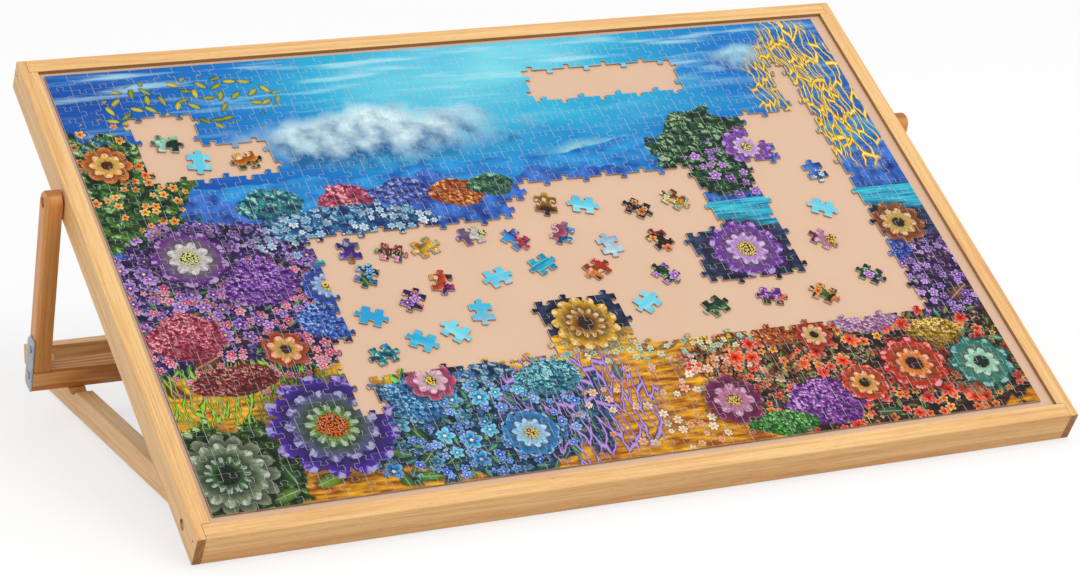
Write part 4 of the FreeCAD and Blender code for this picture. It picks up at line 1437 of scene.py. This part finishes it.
    def piece(self, batch: MeshBatch, outline: np.ndarray, chance: random.Random,
              move: tuple[float, float, float] | None = None, source: np.ndarray | None = None) -> None:
        """Adds one piece to a batch.

        Args:
            batch: Where it goes.
            outline: Its outline in the picture, or about its own middle when it is loose.
            chance: Source of its small unevenness.
            move: For a loose piece, its middle and its turn in radians.
            source: For a loose piece, the middle of its own cell in the picture.
        """
        lean = (chance.gauss(0, self.unevenness), chance.gauss(0, self.unevenness))
        lift = chance.uniform(0.0, self.lift)
        middle = outline.mean(0)
        solid, flat = [], []
        for ring, height in self.rings(outline):
            uneven = (lift + (ring - middle) @ lean) if height else np.zeros(len(ring))
            printed = ring if source is None else ring + source
            if move is not None:
                cosine, sine = math.cos(move[2]), math.sin(move[2])
                ring = ring @ np.array(((cosine, sine), (-sine, cosine))) + move[:2]
            tray = np.column_stack([ring + (self.left, self.bottom), uneven + height + self.floor])
            solid.append(self.place.put(tray))
            flat.append(printed / (self.columns * self.cell_width, self.rows * self.cell_height))
        batch.add(solid, flat)

    def assembled(self, columns: range, chance: random.Random) -> MeshBatch:
        """Gathers the assembled pieces of some columns.

        Args:
            columns: The columns.
            chance: Source of the pieces' small unevenness.

        Returns:
            The pieces.
        """
        batch, missing = MeshBatch(), self.open_cells()
        for column in columns:
            for row in range(self.rows):
                if (column, row) not in missing:
                    self.piece(batch, self.outline(column, row), chance)
        return batch

    def loose(self, chance: random.Random) -> MeshBatch:
        """Gathers the loose pieces.

        Args:
            chance: Source of the knobs' shifts and the pieces' small unevenness.

        Returns:
            The pieces.
        """
        batch = MeshBatch()
        x, y = self.cell_width / 2, self.cell_height / 2
        corners = [np.array(c) for c in ((-x, -y), (x, -y), (x, y), (-x, y))]
        sides = (1.0, -1.0) * 2
        for loose in LOOSE_PIECES:
            shifts = [chance.uniform(-self.loose_shift, self.loose_shift) for _ in sides]
            outline = np.vstack([
                self.run(start, end, side, shift)
                for start, end, side, shift in zip(corners, corners[1:] + corners[:1], sides, shifts)
            ])
            middle = (loose.column * self.cell_width, (self.rows - loose.row) * self.cell_height)
            source = self.corner(*loose.source) + (x, -y)
            self.piece(batch, outline, chance, (*middle, math.radians(loose.turn)), source)
        return batch

    def build(self) -> None:
        """Makes the assembled pieces as three objects, and the loose ones as a fourth."""
        picture = PrintFinish(
            self.columns * self.cell_width, self.rows * self.cell_height, cut=tone("d6d6d0"), contrast=1.14,
            effect=self.finishes.mottle, picture=picture_effect(),
        ).material()
        materials = (picture, self.finishes.card)
        chance = random.Random(self.seed)
        for name, columns in THIRDS.items():
            batch = self.assembled(columns, chance)
            self.show(batch.object(name, materials), "puzzle_assembled", len(batch.faces))
        batch = self.loose(chance)
        self.show(batch.object(LOOSE, materials), "puzzle_loose_pieces", len(batch.faces))

    def show(self, obj: bpy.types.Object, node: str, faces: int) -> None:
        """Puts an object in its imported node's place.

        Args:
            obj: The object.
            node: The node.
            faces: How many faces it has.
        """
        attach(obj, "tray")
        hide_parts(node)
        log.info("%s: %d faces", obj.name, faces)

    def dress(self) -> None:
        """Shades the pieces flat, so that each rim catches its own light."""
        for name in (*THIRDS, LOOSE):
            faces = bpy.data.objects[name].data.polygons
            faces.foreach_set("use_smooth", np.zeros(len(faces), dtype=bool))


# Studio

@dataclass
class Studio:
    """Camera, floor, lamp and surroundings."""

    eye: tuple[float, float, float] = (-1.1227, -2.4469, 0.9208)
    right: tuple[float, float, float] = (0.893, -0.4491, 0.0315)
    ahead: tuple[float, float, float] = (0.4383, 0.8515, -0.2882)
    lens: float = 107.25
    shift: float = -0.124
    sensor: float = 36.0
    clip: tuple[float, float] = (0.05, 60.0)
    lamp_place: tuple[float, float, float] = (0.7, -1.3, 2.8)
    lamp_target: tuple[float, float, float] = (0.0, 0.0, 0.1)
    lamp_size: float = 2.0
    lamp_power: float = 27.0
    ambient: float = 0.82
    floor_glow: float = 0.68
    floor_shade: Colour = (0.7, 0.7, 0.7, 1.0)
    floor_half: float = 20.0
    floor_level: float = -0.0003

    def build(self) -> None:
        """Makes the camera, the floor and the light."""
        scene = bpy.context.scene
        scene.view_settings.view_transform = "Standard"
        camera = bpy.data.cameras.new("camera")
        camera.lens, camera.sensor_width, camera.shift_x = self.lens, self.sensor, self.shift
        camera.clip_start, camera.clip_end = self.clip
        eye = bpy.data.objects.new("camera", camera)
        scene.collection.objects.link(eye)
        ahead = Vector(self.ahead).normalized()
        right = Vector(self.right)
        right = (right - ahead * right.dot(ahead)).normalized()
        up = right.cross(ahead)
        eye.matrix_world = Matrix.Translation(self.eye) @ Matrix((right, up, -ahead)).transposed().to_4x4()
        scene.camera = eye
        lamp = bpy.data.lights.new("soft_box", "AREA")
        lamp.shape, lamp.size, lamp.energy = "DISK", self.lamp_size, self.lamp_power
        holder = bpy.data.objects.new("soft_box", lamp)
        holder.location = self.lamp_place
        beam = Vector(self.lamp_place) - Vector(self.lamp_target)
        holder.rotation_euler = beam.to_track_quat("Z", "Y").to_euler()
        scene.collection.objects.link(holder)
        self.surroundings(scene)
        self.floor(scene)
        log.info("studio")

    def seen(self, g: Graph) -> Socket:
        """Marks what the camera sees, straight, mirrored or through glass.

        Args:
            g: The graph of the floor's material or of the world.

        Returns:
            1 for the camera's view and 0 for the light on the object.
        """
        path = g.node("ShaderNodeLightPath").outputs
        mirrored = g.math("MAXIMUM", path["Is Camera Ray"], path["Is Glossy Ray"])
        return g.math("MAXIMUM", mirrored, path["Is Transmission Ray"])

    def surroundings(self, scene: bpy.types.Scene) -> None:
        """Makes an even white surround that lights softly.

        Args:
            scene: The scene that gets it.
        """
        world = bpy.data.worlds.new("studio")
        scene.world = world
        world.use_nodes = True
        world.node_tree.nodes.clear()
        g = Graph(world.node_tree)
        strength = g.madd(self.seen(g), 1.0 - self.ambient, self.ambient)
        light = g.out("ShaderNodeBackground", {"Strength": strength, "Color": WHITE})
        g.feed(g.node("ShaderNodeOutputWorld").inputs["Surface"], light)

    def floor(self, scene: bpy.types.Scene) -> None:
        """Makes a plain pale floor.

        Args:
            scene: The scene that gets it.
        """
        data = bpy.data.meshes.new("floor")
        corners = ((-1, -1), (1, -1), (1, 1), (-1, 1))
        points = [(x * self.floor_half, y * self.floor_half, self.floor_level) for x, y in corners]
        data.from_pydata(points, [], [(0, 1, 2, 3)])
        floor = bpy.data.objects.new("floor", data)
        scene.collection.objects.link(floor)
        g = Surface("pale_floor", Specular_IOR_Level=0.0, Roughness=1.0)
        colour = g.mix(self.seen(g), self.floor_shade, WHITE)
        g.feed(g.shader.inputs["Base Color"], colour)
        share = g.mul(self.seen(g), self.floor_glow)
        glow = g.out("ShaderNodeEmission", {})
        both = g.out("ShaderNodeMixShader", {0: share, 1: g.shader.outputs[0], 2: glow})
        g.feed(g.end, both)
        data.materials.append(g.material)


def main() -> None:
    """Builds the studio and the sub-assemblies in order."""
    logging.basicConfig(level=logging.INFO, format="%(message)s", stream=sys.stdout)
    Studio().build()
    finishes = Finishes()
    for assembly in (Tray(finishes), PropFrame(finishes), BaseFrame(finishes), Puzzle(finishes)):
        assembly.build()
        assembly.dress()
        log.info("%s is dressed", type(assembly).__name__)


if __name__ == "__main__":
    main()
